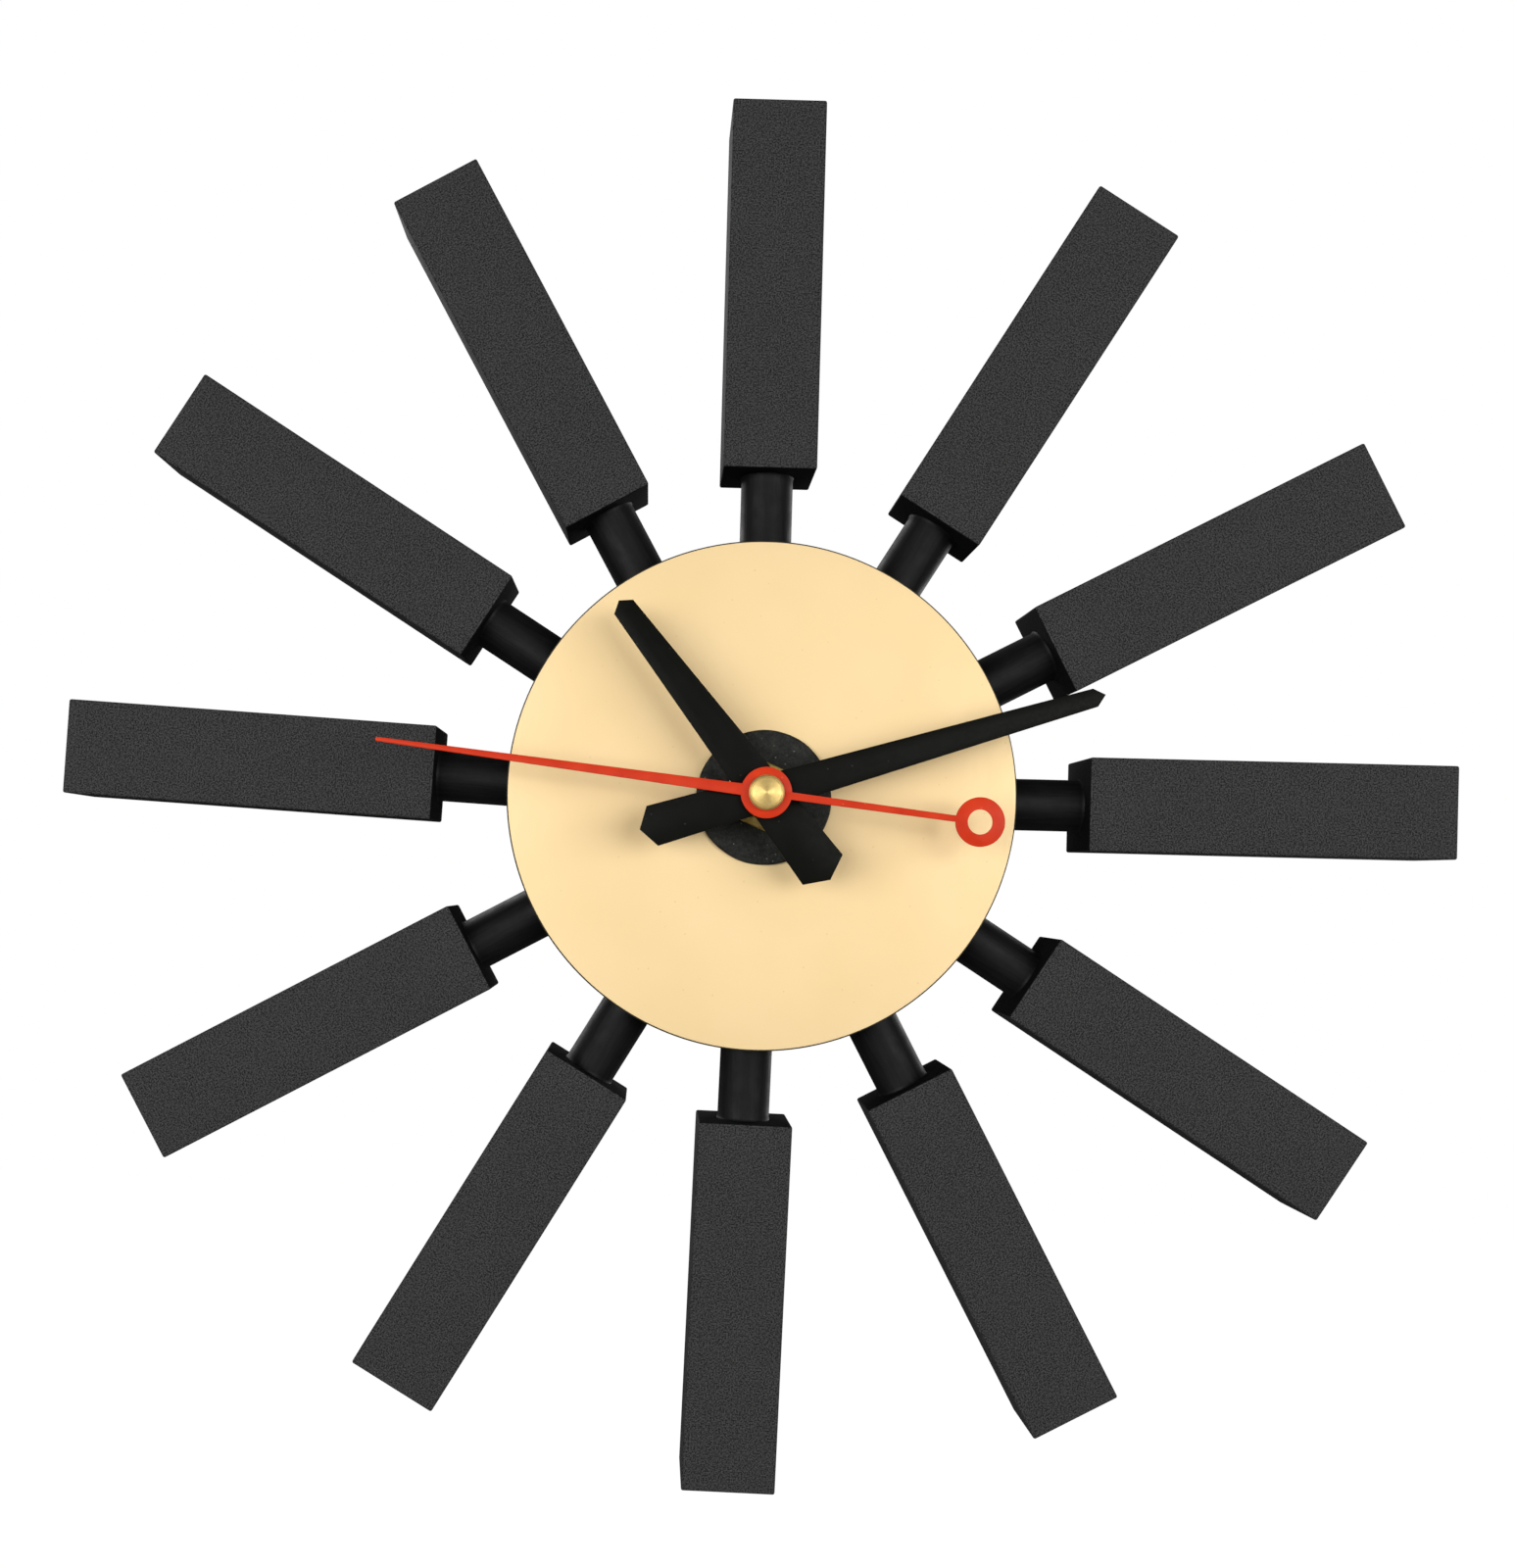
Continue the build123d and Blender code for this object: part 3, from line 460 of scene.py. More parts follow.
def dark_rubber():
    """Moulded black rubber with a dusty bloom, lint and a few pale specks."""
    look = Look("dusty_rubber", grey(0.016), 0.75, Specular_IOR_Level=0.2)
    bloom = look.spread(look.noise(2.6, detail=6.0, distortion=0.8), 0.40, 0.70)
    fine = look.spread(look.noise(0.35, detail=2.0), 0.42, 0.66)
    lint = look.specks(1.6, 0.07, 0.05)
    dust = look.math("ADD", look.math("MULTIPLY", bloom, 0.36), look.math("MULTIPLY", fine, 0.22))
    bare = look.blend(dust, (0.004, 0.0045, 0.004), (0.066, 0.067, 0.057))
    look.color(look.blend(look.math("MULTIPLY", lint, 0.8), bare, (0.16, 0.16, 0.145)))
    look.roughness(bloom, 0.60, 0.85, 0.0, 1.0)
    look.bump(look.noise(0.5, detail=3.0), 0.04)
    return look.material


def hand_lacquer(name, dark, light, roughness, gloss, fleck):
    """Sprayed lacquer on stamped sheet, with a faint orange peel and settled dust."""
    look = Look(name, light, roughness, Specular_IOR_Level=gloss)
    coat = look.mottle(5.0, dark, light)
    look.color(look.blend(look.math("MULTIPLY", look.specks(2.3, 0.05, 0.03), 0.5), coat, fleck))
    look.roughness(look.noise(0.8), roughness - 0.05, roughness + 0.06)
    look.bump(look.noise(0.45, detail=1.0), 0.005)
    return look.material


def cell_sleeve():
    """Plain printed shrink sleeve: pale grey, a blue band and a plus at the button end."""
    look = Look("cell_sleeve", grey(0.55), 0.3, Specular_IOR_Level=0.5, Coat_Weight=0.4)
    along = look.along("X")
    band = look.math("MAXIMUM", look.math("GREATER_THAN", along, 11.0 * MM),
                     look.within(along, 8.6, 0.6))
    ground = look.mottle(6.0, grey(0.50, (1.0, 1.0, 1.04)), grey(0.60, (1.0, 1.0, 1.03)))
    printed = look.blend(band, ground, (0.015, 0.075, 0.19))
    across = look.along("Y")
    upright = look.math("MULTIPLY", look.within(along, CELL_PLUS, 0.35),
                        look.within(across, CELL_Y, 1.6))
    level = look.math("MULTIPLY", look.within(along, CELL_PLUS, 1.6),
                      look.within(across, CELL_Y, 0.35))
    back = look.math("LESS_THAN", look.along("Z"), CELL_LEVEL * MM)
    plus = look.math("MULTIPLY", look.math("MAXIMUM", upright, level), back)
    look.color(look.blend(plus, printed, grey(0.75)))
    look.roughness(look.noise(1.5), 0.24, 0.36)
    look.bump(look.noise(3.0), 0.02)
    return look.material


def metal(name, dark, light, low, high):
    """Metal with a fine grain along the piece's own Y axis."""
    look = Look(name, light, (low + high) / 2, 1.0)
    streak = look.noise(0.35, (1.0, 0.08, 1.0))
    look.color(look.mottle(4.0, dark, light))
    look.roughness(streak, low, high)
    look.bump(streak, 0.006)
    return look.material


def plastic(name, dark, light, low, high, spark=0.03):
    """Moulded plastic with a spark-eroded texture."""
    look = Look(name, light, (low + high) / 2, Specular_IOR_Level=0.45)
    tooth = look.noise(0.28, detail=2.0)
    look.color(look.mottle(7.0, dark, light))
    look.roughness(tooth, low, high)
    look.bump(tooth, spark)
    return look.material


def copper_winding():
    look = Look("enamelled_copper", (0.55, 0.20, 0.08), 0.3, 0.9)
    # The colour turns dark between the wire's turns and light on their crests: painted shade and
    # painted highlight that follow the bump.
    turns = look.math("SINE", look.math("MULTIPLY", look.along("X"), 2 * math.pi / (0.12 * MM)))
    look.color(look.blend(look.spread(turns, -1.0, 1.0), (0.36, 0.12, 0.05), (0.66, 0.27, 0.11)))
    look.bump(turns, 0.02)
    return look.material


def circuit_mask():
    look = Look("green_solder_mask", (0.02, 0.13, 0.05), 0.3, Coat_Weight=0.3)
    weave = look.noise(0.5, detail=2.0)
    look.color(look.blend(look.spread(weave, 0.4, 0.6), (0.012, 0.10, 0.035), (0.03, 0.17, 0.065)))
    look.bump(weave, 0.01)
    return look.material


DIAL_RADIUS = size_of("dial_disc").x / 2
CELL_LEVEL = -middle_of("battery").y
CELL_Y = middle_of("battery").z
CELL_PLUS = 19.5                  # where the plus is printed along the sleeve

LOOKS = {
    "black_wood": block_paint(),
    "dowel_wood": dowel_lacquer(),
    "hub_wood": hub_paint(),
    "satin_brass": dial_brass(),
    "turned_brass": turned_brass(),
    "nut_brass": nut_brass(),
    "dark_rubber": dark_rubber(),
    "black_lacquer": hand_lacquer("black_hand_lacquer", (0.0035, 0.0035, 0.0025),
                                  (0.0050, 0.0050, 0.0038), 0.46, 0.06, (0.06, 0.06, 0.055)),
    "red_lacquer": hand_lacquer("orange_red_lacquer", (0.55, 0.028, 0.005),
                                (0.64, 0.040, 0.008), 0.40, 0.12, (0.75, 0.16, 0.09)),
    "plated_steel": metal("zinc_plated_steel", (0.38, 0.38, 0.36), (0.52, 0.52, 0.495), 0.38, 0.58),
    "case_plastic": plastic("black_moulded_case", (0.014, 0.014, 0.015), (0.024, 0.024, 0.026),
                            0.42, 0.58),
    "white_plastic": plastic("natural_acetal", (0.70, 0.70, 0.65), (0.82, 0.82, 0.78),
                             0.28, 0.38, 0.006),
    "steel_arbor": metal("ground_steel", (0.5, 0.5, 0.5), (0.65, 0.65, 0.65), 0.15, 0.25),
    "ferrite": plastic("sintered_ferrite", (0.05, 0.05, 0.055), (0.09, 0.09, 0.095), 0.5, 0.7),
    "stator_iron": metal("annealed_iron", (0.36, 0.36, 0.38), (0.5, 0.5, 0.5), 0.35, 0.5),
    "copper": copper_winding(),
    "board": circuit_mask(),
    "cell_wrap": cell_sleeve(),
}

SLOT_OF = {entry["node"]: entry["material_slot"] for entry in frame["record"]["subparts"]}
for node_name, node_object in frame["nodes"].items():
    for slot in node_object.material_slots:
        slot.material = LOOKS[SLOT_OF[node_name]]

# ---- Blocks and dowels ----

BLOCK_SIZE = size_of("block_06")          # the block that stands square to the frame
BLOCK_INNER = -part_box("block_06")[1].z / MM
BLOCK_OUTER = -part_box("block_06")[0].z / MM
BLOCK_BACK = back_of("block_06")
BLOCK_FACE = face_of("block_06")
DOWEL_RADIUS = size_of("dowel_06").y / 2
DOWEL_START = -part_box("dowel_06")[1].z / MM
DOWEL_END = -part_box("dowel_06")[0].z / MM
BLOCK_EDGE = 0.42
BLOCK_HOLLOW = 0.035              # how far its faces sink at most, by sanding
BLOCK_SLICES = 12
SPOKE_LEVEL = (BLOCK_FACE + BLOCK_BACK) / 2
GLUE_GAP = 0.05


def block_mesh(seed):
    """Square bar with sanded edges, faintly out of flat; its dowel hole is cut where the block is
    placed.
    """
    mesh = bmesh.new()
    bmesh.ops.create_cube(mesh, size=1.0)
    length = BLOCK_OUTER - BLOCK_INNER
    bmesh.ops.scale(mesh, vec=(BLOCK_SIZE.x, length, BLOCK_SIZE.y), verts=mesh.verts)
    moved(mesh, 0, (BLOCK_OUTER + BLOCK_INNER) / 2, SPOKE_LEVEL)
    bmesh.ops.bevel(mesh, geom=list(mesh.edges), offset=BLOCK_EDGE, segments=3, profile=0.5,
                    affect="EDGES")
    for cut in range(1, BLOCK_SLICES):
        level = BLOCK_INNER + length * cut / BLOCK_SLICES
        bmesh.ops.bisect_plane(mesh, geom=[*mesh.verts, *mesh.edges, *mesh.faces],
                               plane_co=(0, level, 0), plane_no=(0, 1, 0))
    dice = random.Random(seed)
    phase = dice.uniform(0, 6.28)
    for vertex in mesh.verts:
        along = (vertex.co.y - BLOCK_INNER) / length
        hollow = BLOCK_HOLLOW * (1 + math.sin(phase + along * 5.0)) / 2
        vertex.co.x *= 1 - hollow / BLOCK_SIZE.x
        vertex.co.z = SPOKE_LEVEL + (vertex.co.z - SPOKE_LEVEL) * (1 - hollow / BLOCK_SIZE.y)
    return mesh


def dowel_mesh():
    """Turned dowel whose paint gathers a little where it meets the block and the hub."""
    inner = BLOCK_INNER - 0.02
    hub = size_of("hub_drum").x / 2
    radius = DOWEL_RADIUS
    chamfer = 0.6
    bead = radius + 0.22
    slope = radius + 0.08
    profile = [(0, DOWEL_START), (radius - chamfer, DOWEL_START), (radius, DOWEL_START + chamfer),
               (radius, hub + 0.02), (bead, hub + 0.03), (slope, hub + 0.25),
               (radius, hub + 0.7), (radius, inner - 0.7), (slope, inner - 0.25),
               (bead, inner - 0.03), (radius, inner), (radius, DOWEL_END - chamfer),
               (radius - chamfer, DOWEL_END), (0, DOWEL_END)]
    return moved(rolled(lathe(profile, 64), -90, "X"), 0, 0, SPOKE_LEVEL)


def bar(radius, start, end, along="Z", centre=(0.0, 0.0, 0.0), segments=64):
    """Plain round bar along the piece's own Y or Z axis, as a cutting tool."""
    mesh = lathe([(0, start), (radius, start), (radius, end), (0, end)], segments)
    if along == "Y":
        rolled(mesh, -90, "X")
    return moved(mesh, *centre)


def box(low, high):
    """Plain box between two corners, as a cutting tool."""
    mesh = bmesh.new()
    bmesh.ops.create_cube(mesh, size=1.0)
    low, high = Vector(low), Vector(high)
    bmesh.ops.scale(mesh, vec=high - low, verts=mesh.verts)
    return moved(mesh, *((low + high) / 2))


def combine(made, kind, mesh):
    """Cut a tool away from a piece, or keep what they share, in the piece's own space."""
    tool = solid("tool", mesh, made.matrix_world)
    data = tool.data
    bpy.context.view_layer.update()
    modifier = made.modifiers.new("combine", "BOOLEAN")
    modifier.operation = kind
    modifier.solver = "EXACT"
    modifier.object = tool
    apply_modifiers(made)
    bpy.data.objects.remove(tool)
    bpy.data.meshes.remove(data)


for hour in range(1, 13):
    label = f"{hour:02d}"
    place = turned(bearing(middle_of("block_" + label)))
    hole = bar(DOWEL_RADIUS + GLUE_GAP, BLOCK_INNER - 1.0, DOWEL_END + 0.5, "Y",
               (0, 0, SPOKE_LEVEL))
    piece("wood_block_" + label, block_mesh(hour), "black_wood", ["block_" + label],
          cut=[hole], place=place)
    piece("wood_dowel_" + label, dowel_mesh(), "dowel_wood", ["dowel_" + label], place=place)

# ---- Dial and washer ----

DIAL_BACK = back_of("dial_disc")
DIAL_FACE = face_of("dial_disc")
DIAL_HOLE = 4.2


def dial_mesh():
    """Blanked sheet disc: rolled front rim, a burr-free back and a centre hole."""
    roll = 0.45
    ease = 0.1
    rim = arc((DIAL_RADIUS - roll, DIAL_FACE - roll), roll, 0, 90, 5)
    profile = [(DIAL_HOLE, DIAL_BACK), (DIAL_RADIUS - ease, DIAL_BACK),
               (DIAL_RADIUS, DIAL_BACK + ease)] + rim
    profile += [(DIAL_RADIUS * share, DIAL_FACE) for share in (0.75, 0.5, 0.25)]
    profile += [(DIAL_HOLE + ease, DIAL_FACE), (DIAL_HOLE, DIAL_FACE - ease)]
    return lathe(profile, 192)


piece("brass_dial", dial_mesh(), "satin_brass", ["dial_disc"])

WASHER_RADIUS = size_of("dial_washer").x / 2
WASHER_HOLE = 4.7
WASHER_FACE = face_of("dial_washer")


def washer_mesh():
    """Moulded rubber washer, its rim softly rounded and not quite true."""
    thick = WASHER_FACE - DIAL_FACE
    half = thick / 2
    rim = arc((WASHER_RADIUS - half, DIAL_FACE + half), half, -90, 90, 8)
    bore = arc((WASHER_HOLE + 0.25, WASHER_FACE - 0.25), 0.25, 90, 180, 3)
    profile = rim + [(WASHER_RADIUS * 0.7, WASHER_FACE - 0.03), (7.2, WASHER_FACE)]
    profile += bore + [(WASHER_HOLE, DIAL_FACE)]
    mesh = lathe(profile, 128)
    for vertex in mesh.verts:
        angle = math.atan2(vertex.co.y, vertex.co.x)
        radius = math.hypot(vertex.co.x, vertex.co.y)
        if radius > WASHER_RADIUS * 0.6:
            slack = 0.06 + 0.05 * math.sin(3 * angle + 0.7) + 0.025 * math.sin(11 * angle)
            vertex.co.xy *= (radius - max(slack, 0.0)) / radius
    return mesh


washer_at = middle_of("dial_washer")
piece("rubber_washer", moved(washer_mesh(), washer_at.x, washer_at.z), "dark_rubber",
      ["dial_washer"])

# ---- Nut and threaded bush ----

BUSH_RADIUS = 4.0
BUSH_BORE = 2.57
THREAD_PITCH = 0.75
THREAD_DEPTH = 0.4
BUSH_FACE = face_of("threaded_bush")
BUSH_BACK = back_of("threaded_bush")
FLANGE_RADIUS = size_of("threaded_bush").x / 2
FLANGE_THICK = 0.6
NUT_FACE = face_of("shaft_nut")
NUT_FLATS = 12.8
NUT_TURN = 22.0                   # degrees clockwise that the nut ends up tightened at


def bush_mesh():
    """Bush with a real helical thread, cut shallower at its first turn."""
    segments = 72
    rows = 8
    mesh = bmesh.new()
    heights = []
    level = BUSH_BACK + FLANGE_THICK
    while level < BUSH_FACE:
        heights.append(level)
        level += THREAD_PITCH / rows
    heights.append(BUSH_FACE)
    rings = []
    for height in heights:
        fade = min(1.0, (height - heights[0]) / 1.5)
        lead_in = max(0.0, 0.5 - (BUSH_FACE - height)) * 0.6
        radii = []
        for step in range(segments):
            turn = (height / THREAD_PITCH - step / segments) % 1.0
            cut = THREAD_DEPTH * (1.0 - abs(2.0 * turn - 1.0)) * fade
            radii.append(BUSH_RADIUS - max(cut, lead_in))
        rings.append(ring(mesh, radii, height))
    for radius, height in ((BUSH_BORE, BUSH_FACE), (BUSH_BORE, BUSH_BACK),
                           (FLANGE_RADIUS, BUSH_BACK),
                           (FLANGE_RADIUS, BUSH_BACK + FLANGE_THICK)):
        rings.append(ring(mesh, [radius] * segments, height))
    for low, high in zip(rings, rings[1:] + rings[:1]):
        skin(mesh, low, high)
    return mesh


piece("threaded_brass_bush", bush_mesh(), "turned_brass", ["threaded_bush"])


def nut_mesh():
    corners = [(NUT_FLATS / math.sqrt(3) * math.cos(math.radians(60 * side)),
                NUT_FLATS / math.sqrt(3) * math.sin(math.radians(60 * side))) for side in range(6)]
    return slab(corners, WASHER_FACE, NUT_FACE, 0.05, 1)


def nut_crown():
    """The turned shape that rounds the corners of a hexagon nut, front and back."""
    radius = NUT_FLATS / 2 + 0.98
    flat = NUT_FLATS / 2 - 0.25
    return lathe([(0, WASHER_FACE), (flat + 0.5, WASHER_FACE), (radius, WASHER_FACE + 0.5),
                  (radius, NUT_FACE - 0.7), (flat, NUT_FACE), (0, NUT_FACE)], 96)


piece("brass_hex_nut", nut_mesh(), "nut_brass", ["shaft_nut"], place=turned(NUT_TURN),
      keep=[nut_crown()], cut=[bar(BUSH_RADIUS + 0.03, WASHER_FACE - 1, NUT_FACE + 1)])

# ---- Hands ----

HAND_RIM = 0.13
HAND_THICK = size_of("second_hand").y
HOUR_TUBE = 2.51
MINUTE_TUBE = 1.46


def pointed_outline(tip, tip_half, tip_apex, tail, tail_half, tail_apex):
    """Reach, half width and length of the pointed end, of the tip and then of the tail."""
    return [(0, tip), (tip_half, tip - tip_apex), (tail_half, tail_apex - tail),
            (0, -tail), (-tail_half, tail_apex - tail), (-tip_half, tip - tip_apex)]


def hand_place(node):
    return turned(bearing(farthest_from_axis(node)))


def pointed_hand(name, node, body, shape, tube_radius, collar_radius):
    """Stamped blade with rolled edges, pressed on a turned collar."""
    face = face_of(node)
    back = back_of(node)
    blade = slab(pointed_outline(**shape), face - HAND_THICK, face, HAND_RIM)
    hole = bar(tube_radius, back - 1, face + 1)
    piece(name, blade, "black_lacquer", [node], cut=[hole], place=hand_place(node), body=body)
    collar_top = face - HAND_THICK
    collar = lathe([(tube_radius, back), (collar_radius - 0.15, back),
                    (collar_radius, back + 0.15), (collar_radius, collar_top - 0.25),
                    (collar_radius - 0.2, collar_top - 0.02), (tube_radius, collar_top - 0.02)], 72)
    piece(name + "_collar", collar, "black_lacquer", place=hand_place(node), body=body)


HOUR_SHAPE = {"tip": 47.9, "tip_half": 2.35, "tip_apex": 1.6,
              "tail": 21.4, "tail_half": 4.95, "tail_apex": 2.5}
MINUTE_SHAPE = {"tip": 69.6, "tip_half": 1.85, "tip_apex": 2.1,
                "tail": 25.8, "tail_half": 4.1, "tail_apex": 2.6}
pointed_hand("lacquered_hour_hand", "hour_hand", "hour", HOUR_SHAPE, HOUR_TUBE, 3.6)
pointed_hand("lacquered_minute_hand", "minute_hand", "minute", MINUTE_SHAPE, MINUTE_TUBE, 2.3)

SECOND_DISC = 5.05
SECOND_PIVOT = 0.52
SECOND_EYE_AT = 42.2
SECOND_EYE = 4.87
SECOND_EYE_HOLE = 2.45
SECOND_TIP = 77.2
SECOND_TIP_ROUND = 0.42
SECOND_ROOT = 1.16                # half width of the blade at the hub
SECOND_MIDDLE = 0.75              # half width where its taper eases, and of the tail's root
SECOND_MIDDLE_AT = 46.0
SECOND_TAIL_THIN = 0.63           # half width of the tail at its ring


def second_outline():
    """One closed outline: rounded tip, tapered blade, hub disc, tail rod and eye."""
    disc_angle = math.degrees(math.asin(SECOND_ROOT / SECOND_DISC))
    tail_angle = math.degrees(math.asin(SECOND_MIDDLE / SECOND_DISC))
    eye_angle = math.degrees(math.asin(SECOND_TAIL_THIN / SECOND_EYE))
    right = [(SECOND_MIDDLE, SECOND_MIDDLE_AT)]
    right += arc((0, 0), SECOND_DISC, 90 - disc_angle, tail_angle - 90, 30)
    right += arc((0, -SECOND_EYE_AT), SECOND_EYE, 90 - eye_angle, -90, 30)
    left = [(-x, y) for x, y in reversed(right[:-1])]
    tip = arc((0, SECOND_TIP - SECOND_TIP_ROUND), SECOND_TIP_ROUND, 180, 0, 10)
    return tip + right + left


second_face = face_of("second_hand")
second_blade = slab(second_outline(), second_face - HAND_THICK, second_face, HAND_RIM)
eye_bore = bar(SECOND_EYE_HOLE, second_face - 2, second_face + 2, "Z", (0, -SECOND_EYE_AT, 0))
centre_bore = bar(SECOND_PIVOT, second_face - 2, second_face + 2)
piece("lacquered_second_hand", second_blade, "red_lacquer", ["second_hand"],
      cut=[eye_bore, centre_bore], place=hand_place("second_hand"), body="second")


def boss_mesh():
    """Turned cap: bevelled rim, a fine parting groove and a shallow dished face."""
    low = back_of("second_boss")
    high = face_of("second_boss")
    radius = size_of("second_boss").x / 2
    profile = [(0, high - 0.7), (0.5, high - 0.7), (0.5, low), (radius - 0.1, low),
               (radius, low + 0.1), (radius, high - 0.42), (radius - 0.34, high - 0.04),
               (radius - 0.42, high - 0.04), (radius - 0.50, high - 0.16),
               (radius - 0.58, high - 0.05), (radius - 0.75, high)]
    profile += [(share, high - 0.02 * (2.8 - share)) for share in (2.2, 1.5, 0.8, 0.3)]
    profile.append((0, high - 0.075))
    return lathe(profile, 128)


piece("turned_second_boss", boss_mesh(), "turned_brass", ["second_boss"], body="second")

# ---- Hub ----

HUB_RADIUS = size_of("hub_drum").x / 2
HUB_DEPTH = size_of("hub_drum").y
HUB_RECESS = 38.5
RECESS_FLOOR = face_of("movement_front_shell")
SHAFT_HOLE = 4.3
HANGER_Y = middle_of("hanger_plate").z
HANGER_BACK = back_of("hanger_plate")
HANGER_FACE = face_of("hanger_plate")
HANGER_HALF_WIDE = size_of("hanger_plate").x / 2
HANGER_HALF_TALL = size_of("hanger_plate").z / 2
HANGER_CORNER = 2.5
HANGER_GAP = 0.4
SCREW_X = 11.0
SCREW_RADIUS = 1.2
SCREW_END = face_of("hanger_screws")
SCREW_HEAD = 2.2
SLOT_REACH = 1.15
SLOT_HALF = 0.2
SLOT_DEEP = 0.22
SLOT_TURN = 20                    # degrees clockwise that the screws ended up driven to
NAIL_POCKET_RADIUS = 4.6
NAIL_POCKET_DEPTH = 13.0


def hub_mesh():
    """Turned drum: eased rims, and a recess with a round mouth and floor corner."""
    corner = 0.3
    mouth = 0.6
    rim = 0.5
    profile = [(SHAFT_HOLE, RECESS_FLOOR)]
    profile += arc((HUB_RECESS - corner, RECESS_FLOOR - corner), corner, 90, 0, 3)
    profile += arc((HUB_RECESS + mouth, mouth), mouth, 180, 270, 4)
    profile += arc((HUB_RADIUS - rim, rim), rim, -90, 0, 4)
    profile += arc((HUB_RADIUS - corner, HUB_DEPTH - corner), corner, 0, 90, 3)
    profile.append((SHAFT_HOLE, HUB_DEPTH))
    return lathe(profile, 192)


def hub_cuts():
    """Twelve dowel sockets, the routed hanger pocket, the nail pocket and screw holes."""
    cuts = []
    for hour in range(1, 13):
        socket = bar(DOWEL_RADIUS + GLUE_GAP, DOWEL_START - 0.5, HUB_RADIUS + 2, "Y",
                     (0, 0, SPOKE_LEVEL))
        cuts.append(rolled(socket, -bearing(middle_of(f"block_{hour:02d}")), "Z"))
    pocket = rounded_rectangle(HANGER_HALF_WIDE + HANGER_GAP, HANGER_HALF_TALL + HANGER_GAP,
                               HANGER_CORNER + HANGER_GAP, (0, HANGER_Y))
    cuts.append(slab(pocket, -1.0, HANGER_FACE + 0.05))
    cuts.append(bar(NAIL_POCKET_RADIUS, -1.0, NAIL_POCKET_DEPTH, "Z", (0, HANGER_Y, 0), 48))
    for side in (-1, 1):
        cuts.append(bar(SCREW_RADIUS + 0.05, -1.0, SCREW_END + 1, "Z",
                        (side * SCREW_X, HANGER_Y, 0), 24))
    return cuts


piece("turned_hub", hub_mesh(), "hub_wood", ["hub_drum"], cut=hub_cuts())

# ---- Hanger plate and its screws ----


def hanger_cuts():
    """Hanging hole with a rolled mouth, and two dimpled screw holes."""
    cuts = [lathe([(0, -1), (3.05, -1), (3.05, HANGER_BACK), (2.6, HANGER_BACK + 0.3),
                   (2.6, HANGER_FACE + 1), (0, HANGER_FACE + 1)], 64)]
    for side in (-1, 1):
        hole = bar(SCREW_RADIUS + 0.3, -1, HANGER_FACE + 1, segments=32)
        cuts.append(moved(hole, side * SCREW_X, 0))
    return [moved(tool, 0, HANGER_Y) for tool in cuts]


hanger = slab(rounded_rectangle(HANGER_HALF_WIDE, HANGER_HALF_TALL, HANGER_CORNER, (0, HANGER_Y)),
              HANGER_BACK, HANGER_FACE, 0.15)
piece("stamped_hanger_plate", hanger, "plated_steel", ["hanger_plate"], cut=hanger_cuts())


def screw_mesh():
    """Wood screw drawn on its own axis: domed head, waisted neck, turned thread, point."""
    profile = [(0, 0), (1.3, 0), (1.95, 0.08), (SCREW_HEAD, 0.24), (SCREW_HEAD, HANGER_BACK),
               (SCREW_RADIUS, HANGER_BACK)]
    pitch = 0.9
    turns = int((SCREW_END - 2.6) / pitch)
    for turn in range(turns):
        level = 1.8 + turn * pitch
        profile += [(0.85, level), (SCREW_RADIUS, level + pitch / 2)]
    profile += [(0.8, SCREW_END - 0.8), (0, SCREW_END)]
    return lathe(profile, 32)


def cross_recess():
    """The two crossed slots of a screw's driving recess, turned off square."""
    return [rolled(box((-SLOT_REACH, -SLOT_HALF, -1), (SLOT_REACH, SLOT_HALF, SLOT_DEEP)),
                   -SLOT_TURN - quarter, "Z") for quarter in (0, 90)]


for name, side, stands_for in (("hanger_screw_left", -1, ["hanger_screws"]),
                               ("hanger_screw_right", 1, ())):
    place = UPRIGHT @ Matrix.Translation((side * SCREW_X * MM, HANGER_Y * MM, 0))
    piece(name, screw_mesh(), "plated_steel", stands_for, cut=cross_recess(), place=place)

# ---- Movement shells ----

CASE = size_of("movement_rear_shell").x / 2
CASE_BACK = back_of("movement_rear_shell")
CASE_SPLIT = face_of("movement_rear_shell")
CASE_FRONT = face_of("movement_front_shell")
CASE_CORNER = 4.0
SHELL = 1.2
ROOM = CASE - SHELL
BAY_WALL_TOP = -10.6
BAY_WALL_LOW = BAY_WALL_TOP - SHELL
BAY_X = ROOM - 0.3
BAY_LOW = -ROOM + 0.3
KNOB_X = middle_of("setting_knob").x


def between(low_y, high_y, half_x, corner, low, high):
    """Block-shaped tool with round corners between two heights."""
    middle = (low_y + high_y) / 2
    return slab(rounded_rectangle(half_x, (high_y - low_y) / 2, corner, (0, middle)), low, high)


def rooms(low, high):
    """The two hollows of a shell, above and below the wall of the battery bay."""
    corner = CASE_CORNER - SHELL
    return [between(BAY_WALL_TOP, ROOM, ROOM, corner, low, high),
            between(-ROOM, BAY_WALL_LOW, ROOM, corner, low, high)]


def rear_shell_cuts():
    """Hollows, battery opening with its finger notch, arbor hole and ejector marks."""
    cuts = rooms(CASE_BACK + SHELL, CASE_SPLIT + 1)
    through = (CASE_BACK - 1, CASE_BACK + SHELL + 0.1)
    cuts.append(between(BAY_LOW, BAY_WALL_LOW - 0.2, BAY_X, 0.8, *through))
    cuts.append(between(BAY_WALL_LOW - 2.0, BAY_WALL_TOP - 0.3, 7.0, 0.9, *through))
    cuts.append(bar(0.95, *through, "Z", (KNOB_X, 0, 0), 32))
    for x, y in ((-22, 23), (22, 23), (-22, -5), (-3, 5)):
        cuts.append(bar(1.5, CASE_BACK - 1, CASE_BACK + 0.12, "Z", (x, y, 0), 32))
    return cuts


